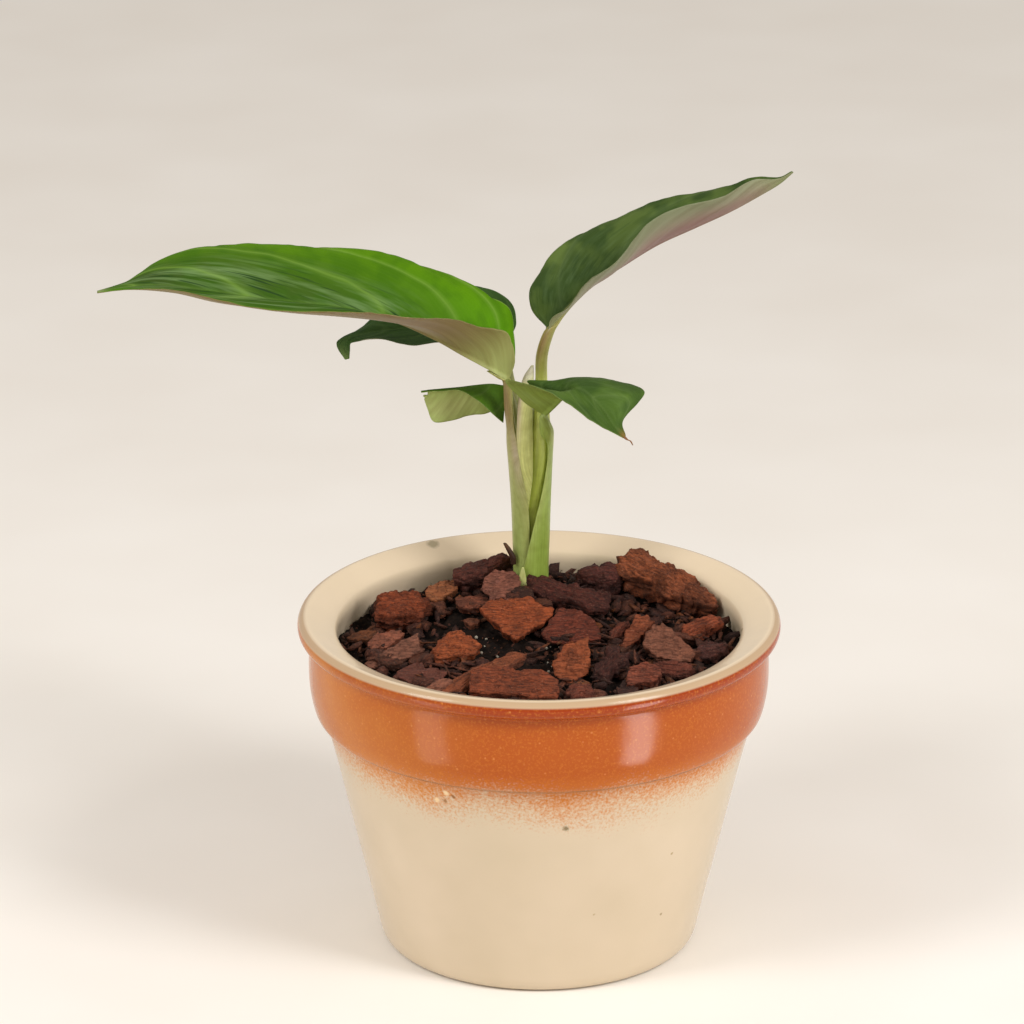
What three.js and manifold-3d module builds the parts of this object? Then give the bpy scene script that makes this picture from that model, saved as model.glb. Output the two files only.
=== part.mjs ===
// Potted jungle velvet calathea: a young plant with five leaves in a glazed pot, mulched with bark chips.
// Millimetres, +Z up. The origin is the centre of the pot's foot, on the surface that it stands on.
// +X is to the right of the plant and +Y is away from the viewer.

import * as THREE from "three";
import { mergeVertices } from "three/addons/utils/BufferGeometryUtils.js";
import Module from "manifold-3d";

// Driving dimensions
const rimRadius = 70;
const potHeight = 99.8;
const footRadius = 43.8;
const collarRadius = 66.9;
const ledgeHeight = 70;
const throatRadius = 58.5;
const floorHeight = 7;
const gap = 0.3;
const potSides = 48;
const fillingSides = 24;

const moundCentre = { x: -2.5, y: 30 };
const soilEdgeHeight = 88;
const moundHeight = 9;
const moundSpread = 16;
const moundRings = [1, 0.75, 0.5, 0.25];
const fillingHeights = [13, 66, 80];

const bladeThickness = 0.8;
const waveShare = 0.5;
const farWavePhase = 0.9;
const tangentStep = 0.01;
const mergeTolerance = 1e-4;
const justAbove = 0.01;

const colours = {
  glaze: 0xd9c3a0,
  soil: 0x17110e,
  mulch: 0x4a2620,
  orangeBark: 0xa3522a,
  redBark: 0x7a3a26,
  purpleBark: 0x5e3a36,
  greyBark: 0x8a6458,
  darkBark: 0x3a1e18,
  brightGreen: 0x5a8f1c,
  darkGreen: 0x46622f,
  midGreen: 0x4f7a30,
  stalk: 0x9db050,
  newLeaf: 0xc9b8a8,
  bract: 0xd6dc8a,
  stub: 0x3a1e0e,
};

const roughness = { glaze: 0.25, soil: 0.95, bark: 0.85, plant: 0.5 };

const wasm = await Module();
wasm.setup();

// Seeded draw of numbers from 0 to 1, the same on each run
function seededDraw(seed) {
  let state = seed;
  return () => {
    state = (state + 0x6d2b79f5) | 0;
    let mixed = Math.imul(state ^ (state >>> 15), 1 | state);
    mixed = (mixed + Math.imul(mixed ^ (mixed >>> 7), 61 | mixed)) ^ mixed;
    return ((mixed ^ (mixed >>> 14)) >>> 0) / 4294967296;
  };
}

// A closed geometry as a solid that can be cut and joined
function toSolid(geometry) {
  const bare = geometry.clone();
  bare.deleteAttribute("normal");
  bare.deleteAttribute("uv");
  const merged = mergeVertices(bare, mergeTolerance);
  return new wasm.Manifold(new wasm.Mesh({
    numProp: 3,
    vertProperties: new Float32Array(merged.attributes.position.array),
    triVerts: new Uint32Array(merged.index.array),
  }));
}

function toGeometry(solid) {
  const mesh = solid.getMesh();
  const geometry = new THREE.BufferGeometry();
  geometry.setAttribute("position", new THREE.BufferAttribute(mesh.vertProperties, 3));
  geometry.setIndex(new THREE.BufferAttribute(mesh.triVerts, 1));
  return geometry;
}

// The connected piece of a geometry with the most triangles. Crumbs that a cut has left loose are dropped.
function largestPiece(geometry) {
  const corners = geometry.index.array;
  const parent = Array.from({ length: geometry.attributes.position.count }, (_, k) => k);
  const rootOf = (k) => {
    let root = k;
    while (parent[root] !== root) root = parent[root];
    return root;
  };
  for (let k = 0; k < corners.length; k += 3) {
    const [a, b, c] = [0, 1, 2].map((step) => rootOf(corners[k + step]));
    const lowest = Math.min(a, b, c);
    parent[a] = lowest;
    parent[b] = lowest;
    parent[c] = lowest;
  }
  const pieces = new Map();
  for (let k = 0; k < corners.length; k += 3) {
    const root = rootOf(corners[k]);
    if (!pieces.has(root)) pieces.set(root, []);
    pieces.get(root).push(corners[k], corners[k + 1], corners[k + 2]);
  }
  const largest = [...pieces.values()].reduce((best, piece) => (piece.length > best.length ? piece : best));
  geometry.setIndex(largest);
  return mergeVertices(geometry.toNonIndexed());
}

// A closed sheet between two grids of points of the same size, triangles split alike on both faces.
// A step along the rows of the first grid crossed with a step along its columns points out of the sheet.
function sheetGeometry(first, second) {
  const rows = first.length;
  const columns = first[0].length;
  const points = [...first.flat(), ...second.flat()];
  const at = (layer, i, j) => layer * rows * columns + i * columns + j;
  const indices = [];
  for (let i = 0; i < rows - 1; i++) {
    for (let j = 0; j < columns - 1; j++) {
      const [a, b, c, d] = [at(0, i, j), at(0, i + 1, j), at(0, i + 1, j + 1), at(0, i, j + 1)];
      const under = rows * columns;
      indices.push(a, b, c, a, c, d);
      indices.push(a + under, c + under, b + under, a + under, d + under, c + under);
    }
  }
  const border = [];
  for (let j = 0; j < columns - 1; j++) border.push([0, j]);
  for (let i = 0; i < rows - 1; i++) border.push([i, columns - 1]);
  for (let j = columns - 1; j > 0; j--) border.push([rows - 1, j]);
  for (let i = rows - 1; i > 0; i--) border.push([i, 0]);
  border.forEach(([i, j], k) => {
    const [nextI, nextJ] = border[(k + 1) % border.length];
    const [a, b] = [at(0, i, j), at(0, nextI, nextJ)];
    const [c, d] = [at(1, nextI, nextJ), at(1, i, j)];
    indices.push(a, b, c, a, c, d);
  });
  const geometry = new THREE.BufferGeometry().setFromPoints(points);
  geometry.setIndex(indices);
  return geometry;
}

// A closed solid through a list of rings, each a closed loop with the same number of points.
// Either end is a fan of triangles to the middle of its ring.
function ringGeometry(rings) {
  const count = rings[0].length;
  const middleOf = (ring) => {
    const sum = ring.reduce((total, point) => total.add(point), new THREE.Vector3());
    return sum.divideScalar(count);
  };
  const points = [...rings.flat(), middleOf(rings[0]), middleOf(rings.at(-1))];
  const indices = [];
  for (let i = 0; i < rings.length - 1; i++) {
    for (let j = 0; j < count; j++) {
      const [a, b] = [i * count + j, i * count + ((j + 1) % count)];
      indices.push(a, b, b + count, a, b + count, a + count);
    }
  }
  const last = (rings.length - 1) * count;
  const [lowMiddle, highMiddle] = [last + count, last + count + 1];
  for (let j = 0; j < count; j++) {
    const next = (j + 1) % count;
    indices.push(lowMiddle, next, j);
    indices.push(highMiddle, last + j, last + next);
  }
  const geometry = new THREE.BufferGeometry().setFromPoints(points);
  geometry.setIndex(indices);
  return geometry;
}

const vector = (point) => new THREE.Vector3(...point);
const smoothPath = (points) => new THREE.CatmullRomCurve3(points.map(vector), false, "catmullrom", 0.5);

// Pot

const potOutside = [
  [0, 0], [footRadius, 0], [45.6, 1.2], [46.6, 3.6], [47.2, 6.5],
  [62, ledgeHeight - 1.2], [63.2, ledgeHeight], [64.9, ledgeHeight + 0.9], [66, 74.5],
  [collarRadius, 80], [collarRadius, 88], [66.4, 92.4], [66.6, 93.6],
  [69, 94.6], [rimRadius, 96], [rimRadius, 97.8], [69.2, 99.2], [67.6, potHeight],
];
const potInside = [
  [66, 99.4], [61.6, 97.8], [59.2, 96.5], [throatRadius, 95], [throatRadius, 93],
  [59.8, 88], [60, 80], [57, 66], [43, 13], [40, 8.6], [36, floorHeight], [0, floorHeight],
];

function latheGeometry(profile, sides) {
  const points = profile.map(([radius, height]) => new THREE.Vector2(radius, height));
  const geometry = new THREE.LatheGeometry(points, sides);
  geometry.rotateX(Math.PI / 2);
  return geometry;
}

const potGeometry = () => latheGeometry([...potOutside, ...potInside], potSides);

// The pot's inner radius at a height, less a clearance
function innerRadius(height, clearance) {
  for (let i = 0; i < potInside.length - 1; i++) {
    const [upperRadius, upper] = potInside[i];
    const [lowerRadius, lower] = potInside[i + 1];
    if (height <= upper && height > lower) {
      const share = (height - lower) / (upper - lower);
      return lowerRadius + (upperRadius - lowerRadius) * share - clearance;
    }
  }
  return 0;
}

// Soil: the top is a low mound, highest at the foot of the stem
function moundTop(x, y) {
  const distanceSquared = (x - moundCentre.x) ** 2 + (y - moundCentre.y) ** 2;
  return soilEdgeHeight + moundHeight * Math.exp(-distanceSquared / (2 * moundSpread ** 2));
}

// A filling of the pot from one height up to a lift above the mound, with a clearance to the wall
function fillingSolid(bottom, lift, clearance) {
  const heights = [bottom, ...fillingHeights].filter((height) => height >= bottom);
  const side = heights.map((height) => [innerRadius(height + justAbove, clearance), height]);
  const edgeRadius = innerRadius(soilEdgeHeight, clearance);
  const top = moundRings.map((share) => [edgeRadius * share, soilEdgeHeight + lift]);
  const profile = [[0, bottom], ...side, ...top, [0, soilEdgeHeight + lift]];
  const geometry = latheGeometry(profile, fillingSides);
  const place = geometry.attributes.position;
  for (let i = 0; i < place.count; i++) {
    if (place.getZ(i) >= soilEdgeHeight) {
      const [x, y] = [place.getX(i), place.getY(i)];
      const height = moundTop(x, y) + lift;
      const inward = Math.min(1, innerRadius(height, clearance) / Math.max(Math.hypot(x, y), 1));
      place.setXYZ(i, x * inward, y * inward, height);
    }
  }
  return toSolid(geometry);
}

// Leaf blades. Each station across a blade has a point of the midrib, the near margin and the far margin.

const leafLeft = {
  name: "leaf_left", rows: 26, halfColumns: 4,
  colour: colours.brightGreen, upperSide: -1,
  nearSag: -0.1, farSag: 0.09, wave: 0.9, waves: 3.5, ribHeight: 1.0,
  midrib: [[-9, 27, 162.3], [-12.5, 26.5, 164.5], [-16.5, 26, 167], [-22.5, 25, 171], [-30.5, 23, 176.5],
    [-42.5, 20, 183], [-57, 17, 187.5], [-74.5, 14, 190.5], [-91.5, 11, 194], [-107, 8, 197],
    [-118, 6, 197.3], [-126, 4.5, 196.2]],
  near: [[-8.4, 26.4, 162.6], [-6.7, 25.5, 169], [-8.7, 23, 176.5], [-14.7, 17.7, 181], [-25, 10, 187],
    [-39.7, 1, 189.7], [-56.6, -4.4, 192.8], [-73.5, -7, 195.4], [-90.5, -7, 197.3], [-106, -2.8, 199],
    [-117.7, 3.1, 197.8], [-126, 4, 196.2]],
  far: [[-8.4, 27.8, 162.6], [-6.7, 31.2, 168.8], [-7.5, 35, 177], [-11.3, 36.4, 182.5], [-21.2, 38, 189],
    [-37.4, 37.3, 195.5], [-57, 36.7, 198.4], [-75.4, 33, 201.8], [-94.2, 28, 203.1], [-109.4, 20, 199.9],
    [-117.8, 10, 197.6], [-126, 5, 196.3]],
};

const leafRight = {
  name: "leaf_right", rows: 26, halfColumns: 4,
  colour: colours.darkGreen, upperSide: 1,
  nearSag: -0.09, farSag: 0.08, wave: 0.8, waves: 4, ribHeight: 0.9,
  midrib: [[2.9, 30, 176.2], [4.9, 30, 178.8], [9.3, 30, 184.3], [15.3, 29.5, 190.3], [23.3, 29, 196],
    [33.7, 28, 203], [44.8, 27, 208.6], [54.8, 26, 213.7], [63.6, 25, 219], [68.7, 24.5, 222.3],
    [72.6, 24, 225.9]],
  near: [[2.6, 29.3, 176.6], [4.1, 27, 180.9], [8, 22.2, 186], [13.4, 17.2, 193.8], [20.4, 13.8, 201.6],
    [30, 14.4, 212.5], [42, 16.5, 218], [52, 18.2, 221], [60.8, 21.3, 223.7], [67.4, 23.5, 224.2],
    [72.3, 23.6, 226]],
  far: [[2.3, 30.6, 176.8], [-1.7, 36, 180], [-2.9, 37.7, 186.4], [1.2, 39.7, 191.8], [10, 40.6, 201],
    [24, 42.6, 207.3], [37.3, 40, 212.4], [50.5, 36.6, 217.4], [60.6, 31, 221.5], [67.9, 26.6, 223.4],
    [72.3, 24.4, 226]],
};

const leafFolded = {
  name: "leaf_folded", rows: 18, halfColumns: 3,
  colour: colours.midGreen, upperSide: 1,
  nearSag: -0.06, farSag: 0.1, wave: 0.6, waves: 2.5, ribHeight: 0.7,
  midrib: [[1.4, 22.8, 152.7], [3.9, 22, 155.4], [6.2, 21, 158.1], [8.1, 19, 160.9], [11.2, 16, 163.2],
    [14.9, 13, 161.8], [18.4, 10, 158.6], [21.5, 7, 154.8], [24.5, 4.5, 152.2]],
  near: [[0.8, 22.4, 152.9], [-3.5, 19.5, 159.2], [-7.5, 18.5, 165.1], [0.2, 13, 164.9], [6.8, 8.5, 161.6],
    [12.8, 4, 159.4], [18.3, 3, 155.9], [21.5, 3.5, 153.6], [24.2, 4.1, 152.2]],
  far: [[1.9, 23.4, 152.9], [1.8, 25, 156.7], [-3.5, 26, 162], [3.5, 26.3, 162.2], [11.3, 26, 162.5],
    [21.6, 24, 162.6], [30.4, 17, 162], [28.6, 12.5, 156.8], [24.8, 5, 152.5]],
};

const leafTorn = {
  name: "leaf_torn", rows: 12, halfColumns: 3,
  colour: colours.midGreen, upperSide: -1,
  nearSag: 0.06, farSag: 0.06, wave: 0.3, waves: 2, ribHeight: 0.5,
  midrib: [[-9.9, 38, 156.4], [-14, 38, 156.9], [-19, 38.5, 156.2], [-23.3, 39, 155.4], [-29, 39, 154.8],
    [-34.4, 39, 154.2]],
  near: [[-10.4, 31.5, 147], [-14.5, 28.7, 152], [-19.5, 32.2, 154.7], [-23.5, 37.2, 155.2],
    [-29, 37.6, 154.6], [-34.4, 38, 154.1]],
  far: [[-10.8, 42.8, 148.8], [-15, 42, 146.6], [-20, 42, 145.3], [-25.4, 41.3, 144.4],
    [-30.7, 40.4, 144.2], [-32.6, 41.6, 148]],
};

const leafBack = {
  name: "leaf_back", rows: 18, halfColumns: 3,
  colour: colours.darkGreen, upperSide: -1,
  nearSag: -0.08, farSag: 0.08, wave: 0.6, waves: 3, ribHeight: 0.6,
  midrib: [[-10.5, 44, 166.7], [-14.3, 45, 169.4], [-19, 46, 171.3], [-26.5, 47, 171.8], [-36.2, 47, 171.2],
    [-45, 46, 170.6], [-51.7, 44.5, 169.9], [-56, 43, 168.9], [-57.5, 42, 166.4], [-56, 41.5, 163.2]],
  near: [[-10.6, 43.3, 166.9], [-14.8, 39.1, 168.4], [-20, 35.6, 170.2], [-27.6, 34.1, 171.2],
    [-38.1, 34.2, 170.5], [-45.4, 36, 171], [-51.8, 39.5, 169.6], [-54.8, 41.2, 168.6],
    [-55.1, 41.6, 165.9], [-55.4, 41.2, 163.4]],
  far: [[-10, 44.7, 167], [-6.4, 50, 171.5], [-9, 53.8, 177.3], [-19.6, 59.2, 179.5], [-32.8, 60.3, 177.2],
    [-43.7, 57.4, 174.2], [-51.5, 50, 170], [-57.9, 45, 168.6], [-59, 43, 167], [-56.6, 41.9, 163]],
};

// Middle surface of a blade as a grid: rows from base to tip, columns from the near to the far margin.
// Across each half the point runs straight from midrib to margin, plus a sag of 4t(1-t) and an edge wave.
// A sag above 0 domes the half upwards. upperSide is the side of the grid's normal where the upper face is.
function bladeGrid(leaf) {
  const { rows, halfColumns } = leaf;
  const [midrib, near, far] = [leaf.midrib, leaf.near, leaf.far].map(smoothPath);
  const grid = [];
  for (let i = 0; i <= rows; i++) {
    const s = i / rows;
    const centre = midrib.getPoint(s);
    const ends = { near: near.getPoint(s), far: far.getPoint(s) };
    const [behind, ahead] = [Math.max(s - tangentStep, 0), Math.min(s + tangentStep, 1)];
    const along = midrib.getPoint(ahead).sub(midrib.getPoint(behind));
    const normal = ends.near.clone().sub(ends.far).cross(along).normalize();
    const row = [];
    for (let j = -halfColumns; j <= halfColumns; j++) {
      const t = Math.abs(j) / halfColumns;
      const side = j < 0 ? "near" : "far";
      const reach = ends[side].clone().sub(centre);
      const share = leaf.upperSide * (side === "near" ? leaf.nearSag : leaf.farSag);
      const sag = share * reach.length() * 4 * t * (1 - t);
      const phase = side === "near" ? 0 : farWavePhase;
      const wave = leaf.wave * t ** 3 * Math.sin(Math.PI * s) ** waveShare
        * Math.sin(2 * Math.PI * (leaf.waves * s + phase));
      row.push(centre.clone().addScaledVector(reach, t).addScaledVector(normal, sag + wave));
    }
    grid.push(row);
  }
  return grid;
}

// Unit normals of a grid of points, from the differences along its rows and columns
function gridNormals(grid) {
  const rows = grid.length;
  const columns = grid[0].length;
  return grid.map((row, i) => row.map((point, j) => {
    const alongRow = row[Math.min(j + 1, columns - 1)].clone().sub(row[Math.max(j - 1, 0)]);
    const alongBlade = grid[Math.min(i + 1, rows - 1)][j].clone().sub(grid[Math.max(i - 1, 0)][j]);
    return alongBlade.cross(alongRow).normalize();
  }));
}

// A blade of even thickness, with the midrib as a ridge below that thins out towards the tip
function bladeGeometry(leaf) {
  const { rows, halfColumns } = leaf;
  const grid = bladeGrid(leaf);
  const normals = gridNormals(grid);
  const [front, back] = [1, -1].map((side) => grid.map((row, i) => row.map((point, j) => {
    const ridge = side !== leaf.upperSide && j === halfColumns ? leaf.ribHeight * (1 - i / rows) : 0;
    return point.clone().addScaledVector(normals[i][j], side * (bladeThickness / 2 + ridge));
  })));
  return sheetGeometry(front, back);
}

// Stalks. A sheath is a wall round part of the stem that narrows to a channelled stalk.
// Each station has centre x, y, z, outer radius, wall, and the angles where the wall starts and ends.

const stalkLeft = [
  [-3.1, 32, 84, 4.2, 0.8, 84, 278], [-3.1, 32, 99, 4.3, 0.8, 84, 278],
  [-3.2, 32, 120, 4.8, 0.8, 95, 272], [-3.2, 31.4, 134, 5.7, 0.8, 112, 236],
  [-5.6, 30.4, 141, 3.8, 0.9, 104, 244], [-7.5, 29.4, 146.5, 2, 1, 70, 280],
  [-8.5, 28.2, 153, 1.6, 1, 50, 300], [-8.9, 27.3, 161.5, 1.5, 1, 50, 300],
];

const stalkFolded = [
  [-2.5, 32, 84, 5.3, 0.7, -115, 100], [-2.5, 32, 99, 5.4, 0.7, -115, 100],
  [-2.4, 32, 114, 5.7, 0.7, -86, 92], [-2.2, 31.8, 129, 6, 0.7, -52, 72],
  [-1.6, 31.4, 138, 5.8, 0.8, -42, 40], [0.6, 29.4, 143, 3.8, 0.8, -64, 12],
  [2, 26.8, 146.5, 2.3, 0.9, -140, 20], [1.8, 24.6, 149.6, 1.6, 1, -200, 40],
  [1.4, 23, 152, 1.3, 0.9, -220, 60],
];

// Full round stalks: centre x, y, z and radius

const stalkRight = [
  [-2.5, 32, 84, 2.7], [-2.5, 32, 99, 2.8], [-1.8, 32.3, 118, 2.8], [-0.6, 32.3, 130, 2.9],
  [0.2, 31.9, 139, 2.8], [0.5, 31.6, 147, 2.7], [0.7, 30.6, 154, 2.2], [0.7, 30, 161.4, 1.75],
  [0.9, 30, 168.5, 1.75], [2.8, 30, 175.4, 1.6],
];

const stalkTorn = [
  [-5.5, 38.4, 86, 1.3], [-6.3, 38.8, 125, 1.3], [-7, 38.6, 146, 1.2], [-9, 38.2, 155.6, 1],
];

const stalkBack = [
  [-1.5, 40, 86, 1.4], [-1.8, 41.2, 122, 1.4], [-3.6, 43.6, 141, 1.3], [-7.4, 45.4, 152, 1.2],
  [-10, 44.4, 165.9, 1],
];

const newLeafPoint = [
  [-3.9, 29.2, 123, 0.7], [-4.1, 29.1, 132, 1.7], [-4.3, 29, 140, 2.1], [-4.3, 29, 148, 2.1],
  [-4, 29.4, 155, 1.9], [-3.1, 30.1, 161.2, 1.6], [-1.9, 30, 165.2, 0.4],
];

const dryStub = [
  [-7.4, 28.3, 104.2, 0.8], [-7.6, 28.2, 106.4, 0.9], [-8.8, 28.3, 108.8, 0.8], [-9.9, 28.4, 110.6, 0.5],
];

const basalBract = [
  [-2.6, 32, 97.2, 6.5, 0.7, -126, -92], [-2.6, 32, 102, 6.6, 0.7, -119, -98],
  [-2.6, 32, 105.3, 6.8, 0.6, -110, -104],
];

const stalkRows = 17;
const sheathColumns = 9;
const stalkSides = 12;
const rodRows = 7;
const rodSides = 7;
const bractRows = 5;
const leastBore = 0.25;

const toRadians = (degrees) => degrees * Math.PI / 180;

// Values between stations: the stations are the knots of a smooth curve through each column
function smoothStations(stations, count) {
  const columns = stations[0].map((_, k) => smoothPath(stations.map((station) => [station[k], 0, 0])));
  return Array.from({ length: count }, (_, i) => columns.map((curve) => curve.getPoint(i / (count - 1)).x));
}

// A sheath's solid, with a clearance added on every side of its wall
function sheathGeometry(stations, rows, columns, clearance = 0) {
  const faces = { outer: [], inner: [] };
  for (const [x, y, z, radius, wall, start, end] of smoothStations(stations, rows)) {
    const widen = clearance / radius * 180 / Math.PI;
    for (const side of ["outer", "inner"]) {
      const reach = side === "outer" ? radius + clearance : Math.max(radius - wall - clearance, leastBore);
      faces[side].push(Array.from({ length: columns }, (_, j) => {
        const angle = toRadians(start - widen + (end - start + 2 * widen) * j / (columns - 1));
        return new THREE.Vector3(x + reach * Math.cos(angle), y + reach * Math.sin(angle), z);
      }));
    }
  }
  return sheetGeometry(faces.inner, faces.outer);
}

// A round rod with a radius that changes along it
function rodGeometry(stations, rows, sides, clearance = 0) {
  const rings = smoothStations(stations, rows).map(([x, y, z, radius]) => (
    Array.from({ length: sides }, (_, j) => {
      const angle = 2 * Math.PI * j / sides;
      const reach = radius + clearance;
      return new THREE.Vector3(x + reach * Math.cos(angle), y + reach * Math.sin(angle), z);
    })
  ));
  return ringGeometry(rings);
}

// Bark chips. A chip is a slab with a broken outline: length, width and height, turn about Z, tilt about
// X and Y. The outline's corners are shares of half the length and width, clockwise seen from above.

const bark = [
  { name: "flat_orange", at: [-6.7, 7], lift: 2.9, size: [22, 18, 4.4], turn: 0, tilt: [22, 3],
    colour: "orangeBark", outline: [[-1, 0.45], [-0.7, 0.85], [-0.2, 0.9], [0.35, 1], [0.55, 0.75],
      [1, 0.45], [0.95, 0.15], [0.7, -0.25], [0.5, -0.4], [0.2, -0.85], [-0.05, -1], [-0.35, -0.7],
      [-0.5, -0.4], [-0.8, 0.05]] },
  { name: "small_orange", at: [-20, 20], lift: 2, size: [8.5, 7, 2.6], turn: 4, tilt: [8, 0],
    colour: "redBark", outline: [[-1, 0.7], [-0.35, 1], [0.85, 0.85], [1, -0.1], [0.6, -0.85],
      [-0.25, -1], [-0.9, -0.65]] },
  { name: "tiny_orange", at: [-19.5, 11], lift: 1.2, size: [5, 4.5, 2.8], turn: 0, tilt: [5, 0],
    colour: "orangeBark", outline: [[-1, 0.3], [-0.1, 1], [1, 0.5], [0.8, -0.7], [-0.3, -1]] },
  { name: "purple_disc", at: [-10.7, 24.5], lift: 3, size: [11.5, 11.5, 3], turn: 0, tilt: [30, 0],
    colour: "purpleBark", outline: [[-1, -0.3], [-0.9, 0.3], [-0.45, 0.8], [0.1, 1], [0.65, 0.7],
      [1, 0.15], [1, -0.55], [0.3, -1], [-0.65, -1]] },
  { name: "back_left_lump", at: [-16, 35], lift: 3.8, size: [18, 10, 8], turn: 12, tilt: [10, -8],
    colour: "darkBark", outline: [[-1, 0.3], [-0.65, 0.5], [-0.1, 0.8], [0.4, 1], [0.9, 0.9], [1, 0.4],
      [0.45, -0.2], [0.1, -0.5], [-0.3, -1], [-0.8, -0.7], [-1, -0.2]] },
  { name: "fibrous_left", at: [-39.8, 17.5], lift: 4.4, size: [17, 15, 9], turn: 4, tilt: [14, 6],
    colour: "redBark", outline: [[-1, -0.5], [-0.9, 0.35], [-0.6, 0.7], [-0.35, 1], [-0.2, 0.65],
      [0.3, 0.9], [0.65, 0.8], [1, 0.15], [0.75, -0.25], [0.55, -0.7], [-0.2, -1], [-1, -0.9]] },
  { name: "light_orange", at: [-28.5, 30.5], lift: 3, size: [9.5, 10, 4], turn: 0, tilt: [24, 0],
    colour: "orangeBark", outline: [[-0.9, 0.5], [0.8, 1], [1, 0.2], [0.35, -0.4], [-0.4, -1],
      [-1, -0.2]] },
  { name: "pinkish_left", at: [-44.5, 1], lift: 1.8, size: [11, 10, 3], turn: 0, tilt: [14, 0],
    colour: "purpleBark", outline: [[-1, -0.3], [-0.45, 0.7], [0.8, 1], [1, 0.55], [0.3, -0.55],
      [-0.7, -1]] },
  { name: "grey_long", at: [-42, -9.5], lift: 2.8, size: [17.5, 14, 3.6], turn: 0, tilt: [26, -3],
    colour: "greyBark", outline: [[-1, -0.8], [-0.65, -0.4], [0.05, 0.3], [0.8, 0.85], [1, -0.1],
      [0.35, -0.55], [-0.5, -1], [-0.85, -1]] },
  { name: "round_orange", at: [-24, -9], lift: 3.4, size: [13.5, 12, 6], turn: 0, tilt: [20, 0],
    colour: "orangeBark", outline: [[-1, -0.3], [-0.75, 0.35], [-0.4, 0.95], [0.2, 1], [0.8, 0.55],
      [1, 0.05], [0.7, -0.45], [0.1, -0.75], [-0.4, -1], [-0.85, -0.9]] },
  { name: "purple_front", at: [-34, -25], lift: 1.6, size: [16, 14, 3], turn: 0, tilt: [12, 0],
    colour: "purpleBark", outline: [[-1, -0.1], [-0.2, 0.8], [0.05, 1], [0.15, 0.45], [0.95, 0.25],
      [0.8, -0.4], [0.3, -1], [-0.6, -0.5]] },
  { name: "splinter", at: [-16, -29.5], lift: 4, size: [35, 6.5, 5], turn: 43, tilt: [10, -6],
    colour: "orangeBark", outline: [[-1, 0.2], [-0.75, 0.7], [-0.3, 0.9], [0.3, 0.7], [0.85, 1], [1, 0.1],
      [0.8, -0.8], [0.3, -1], [-0.2, -0.7], [-0.7, -1], [-0.95, -0.6]] },
  { name: "front_red", at: [-7, -37], lift: 3, size: [25.5, 14, 6.5], turn: -2, tilt: [16, 2],
    colour: "redBark", outline: [[-1, 0.65], [-0.7, 1], [-0.2, 0.9], [0.2, 0.7], [0.65, 0.8], [0.95, 0.3],
      [1, -0.4], [0.95, -1], [-1, -0.8]] },
  { name: "upright_brown", at: [9, -18], lift: 3.6, size: [11.4, 14.5, 3.6], turn: 0, tilt: [42, 0],
    colour: "orangeBark", outline: [[-0.35, 0.7], [0.85, 1], [1, 0.3], [0.95, -0.6], [0, -1],
      [-0.8, -0.75], [-1, -0.05], [-0.55, 0.2]] },
  { name: "middle_red", at: [9.2, 4.5], lift: 3, size: [16.7, 15.5, 3.6], turn: 0, tilt: [24, 0],
    colour: "redBark", outline: [[-1, -0.4], [-0.65, 0.35], [-0.35, 0.95], [0.1, 0.95], [0.6, 0.5],
      [1, 0], [1, -0.7], [0.3, -0.85], [-0.25, -1], [-0.75, -0.8]] },
  { name: "wrinkled_dark", at: [8, 20.5], lift: 3, size: [28, 11, 5], turn: -26, tilt: [18, 8],
    colour: "darkBark", outline: [[-1, 0.2], [-0.7, 0.8], [-0.2, 0.6], [0.1, 1], [0.5, 0.7], [0.9, 0.8],
      [1, -0.1], [0.7, -0.9], [0.2, -0.6], [-0.2, -1], [-0.7, -0.6]] },
  { name: "back_right_lump", at: [18, 36.5], lift: 3.4, size: [15, 10, 9], turn: 0, tilt: [12, 0],
    colour: "darkBark", outline: [[-1, -0.1], [-0.7, 0.6], [-0.2, 0.9], [0.45, 1], [0.85, 0.75],
      [1, -0.2], [0.35, -1], [-0.45, -0.6]] },
  { name: "fibrous_right", at: [38, 32.5], lift: 6.6, size: [37, 14, 11], turn: -40, tilt: [12, 12],
    colour: "redBark", outline: [[-1, -0.2], [-0.95, 0.5], [-0.7, 0.85], [-0.4, 0.6], [-0.1, 0.9],
      [0.25, 1], [0.5, 0.6], [0.7, 0.5], [1, 0.1], [0.9, -0.4], [0.6, -0.8], [0.2, -1], [-0.2, -0.8],
      [-0.6, -0.9], [-0.9, -0.7]] },
  { name: "long_red", at: [47, 9.5], lift: 2.8, size: [15, 7, 5.6], turn: 28, tilt: [20, -8],
    colour: "redBark", outline: [[-1, -0.3], [-0.6, 0.5], [0.1, 0.7], [0.7, 1], [1, 0.5], [0.8, -0.4],
      [0.2, -0.8], [-0.5, -1]] },
  { name: "smooth_grey", at: [37.5, -8], lift: 4.4, size: [15, 14.5, 4], turn: 0, tilt: [30, 0],
    colour: "greyBark", outline: [[-1, -0.25], [-0.85, 0.45], [-0.45, 1], [0.1, 0.8], [0.45, 0.15],
      [1, -0.5], [0.85, -1], [0.2, -0.9], [-0.45, -0.65]] },
  { name: "angular_orange", at: [28.5, 1], lift: 3.8, size: [10, 12.5, 5], turn: 0, tilt: [34, 0],
    colour: "orangeBark", outline: [[-1, -0.8], [-0.55, 0.15], [-0.1, 0.9], [0.55, 1], [1, 0.6], [0.5, 0],
      [0.1, -0.45], [-0.8, -1]] },
  { name: "front_small", at: [30, -29], lift: 3, size: [10, 9, 5], turn: 0, tilt: [26, 0],
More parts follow.
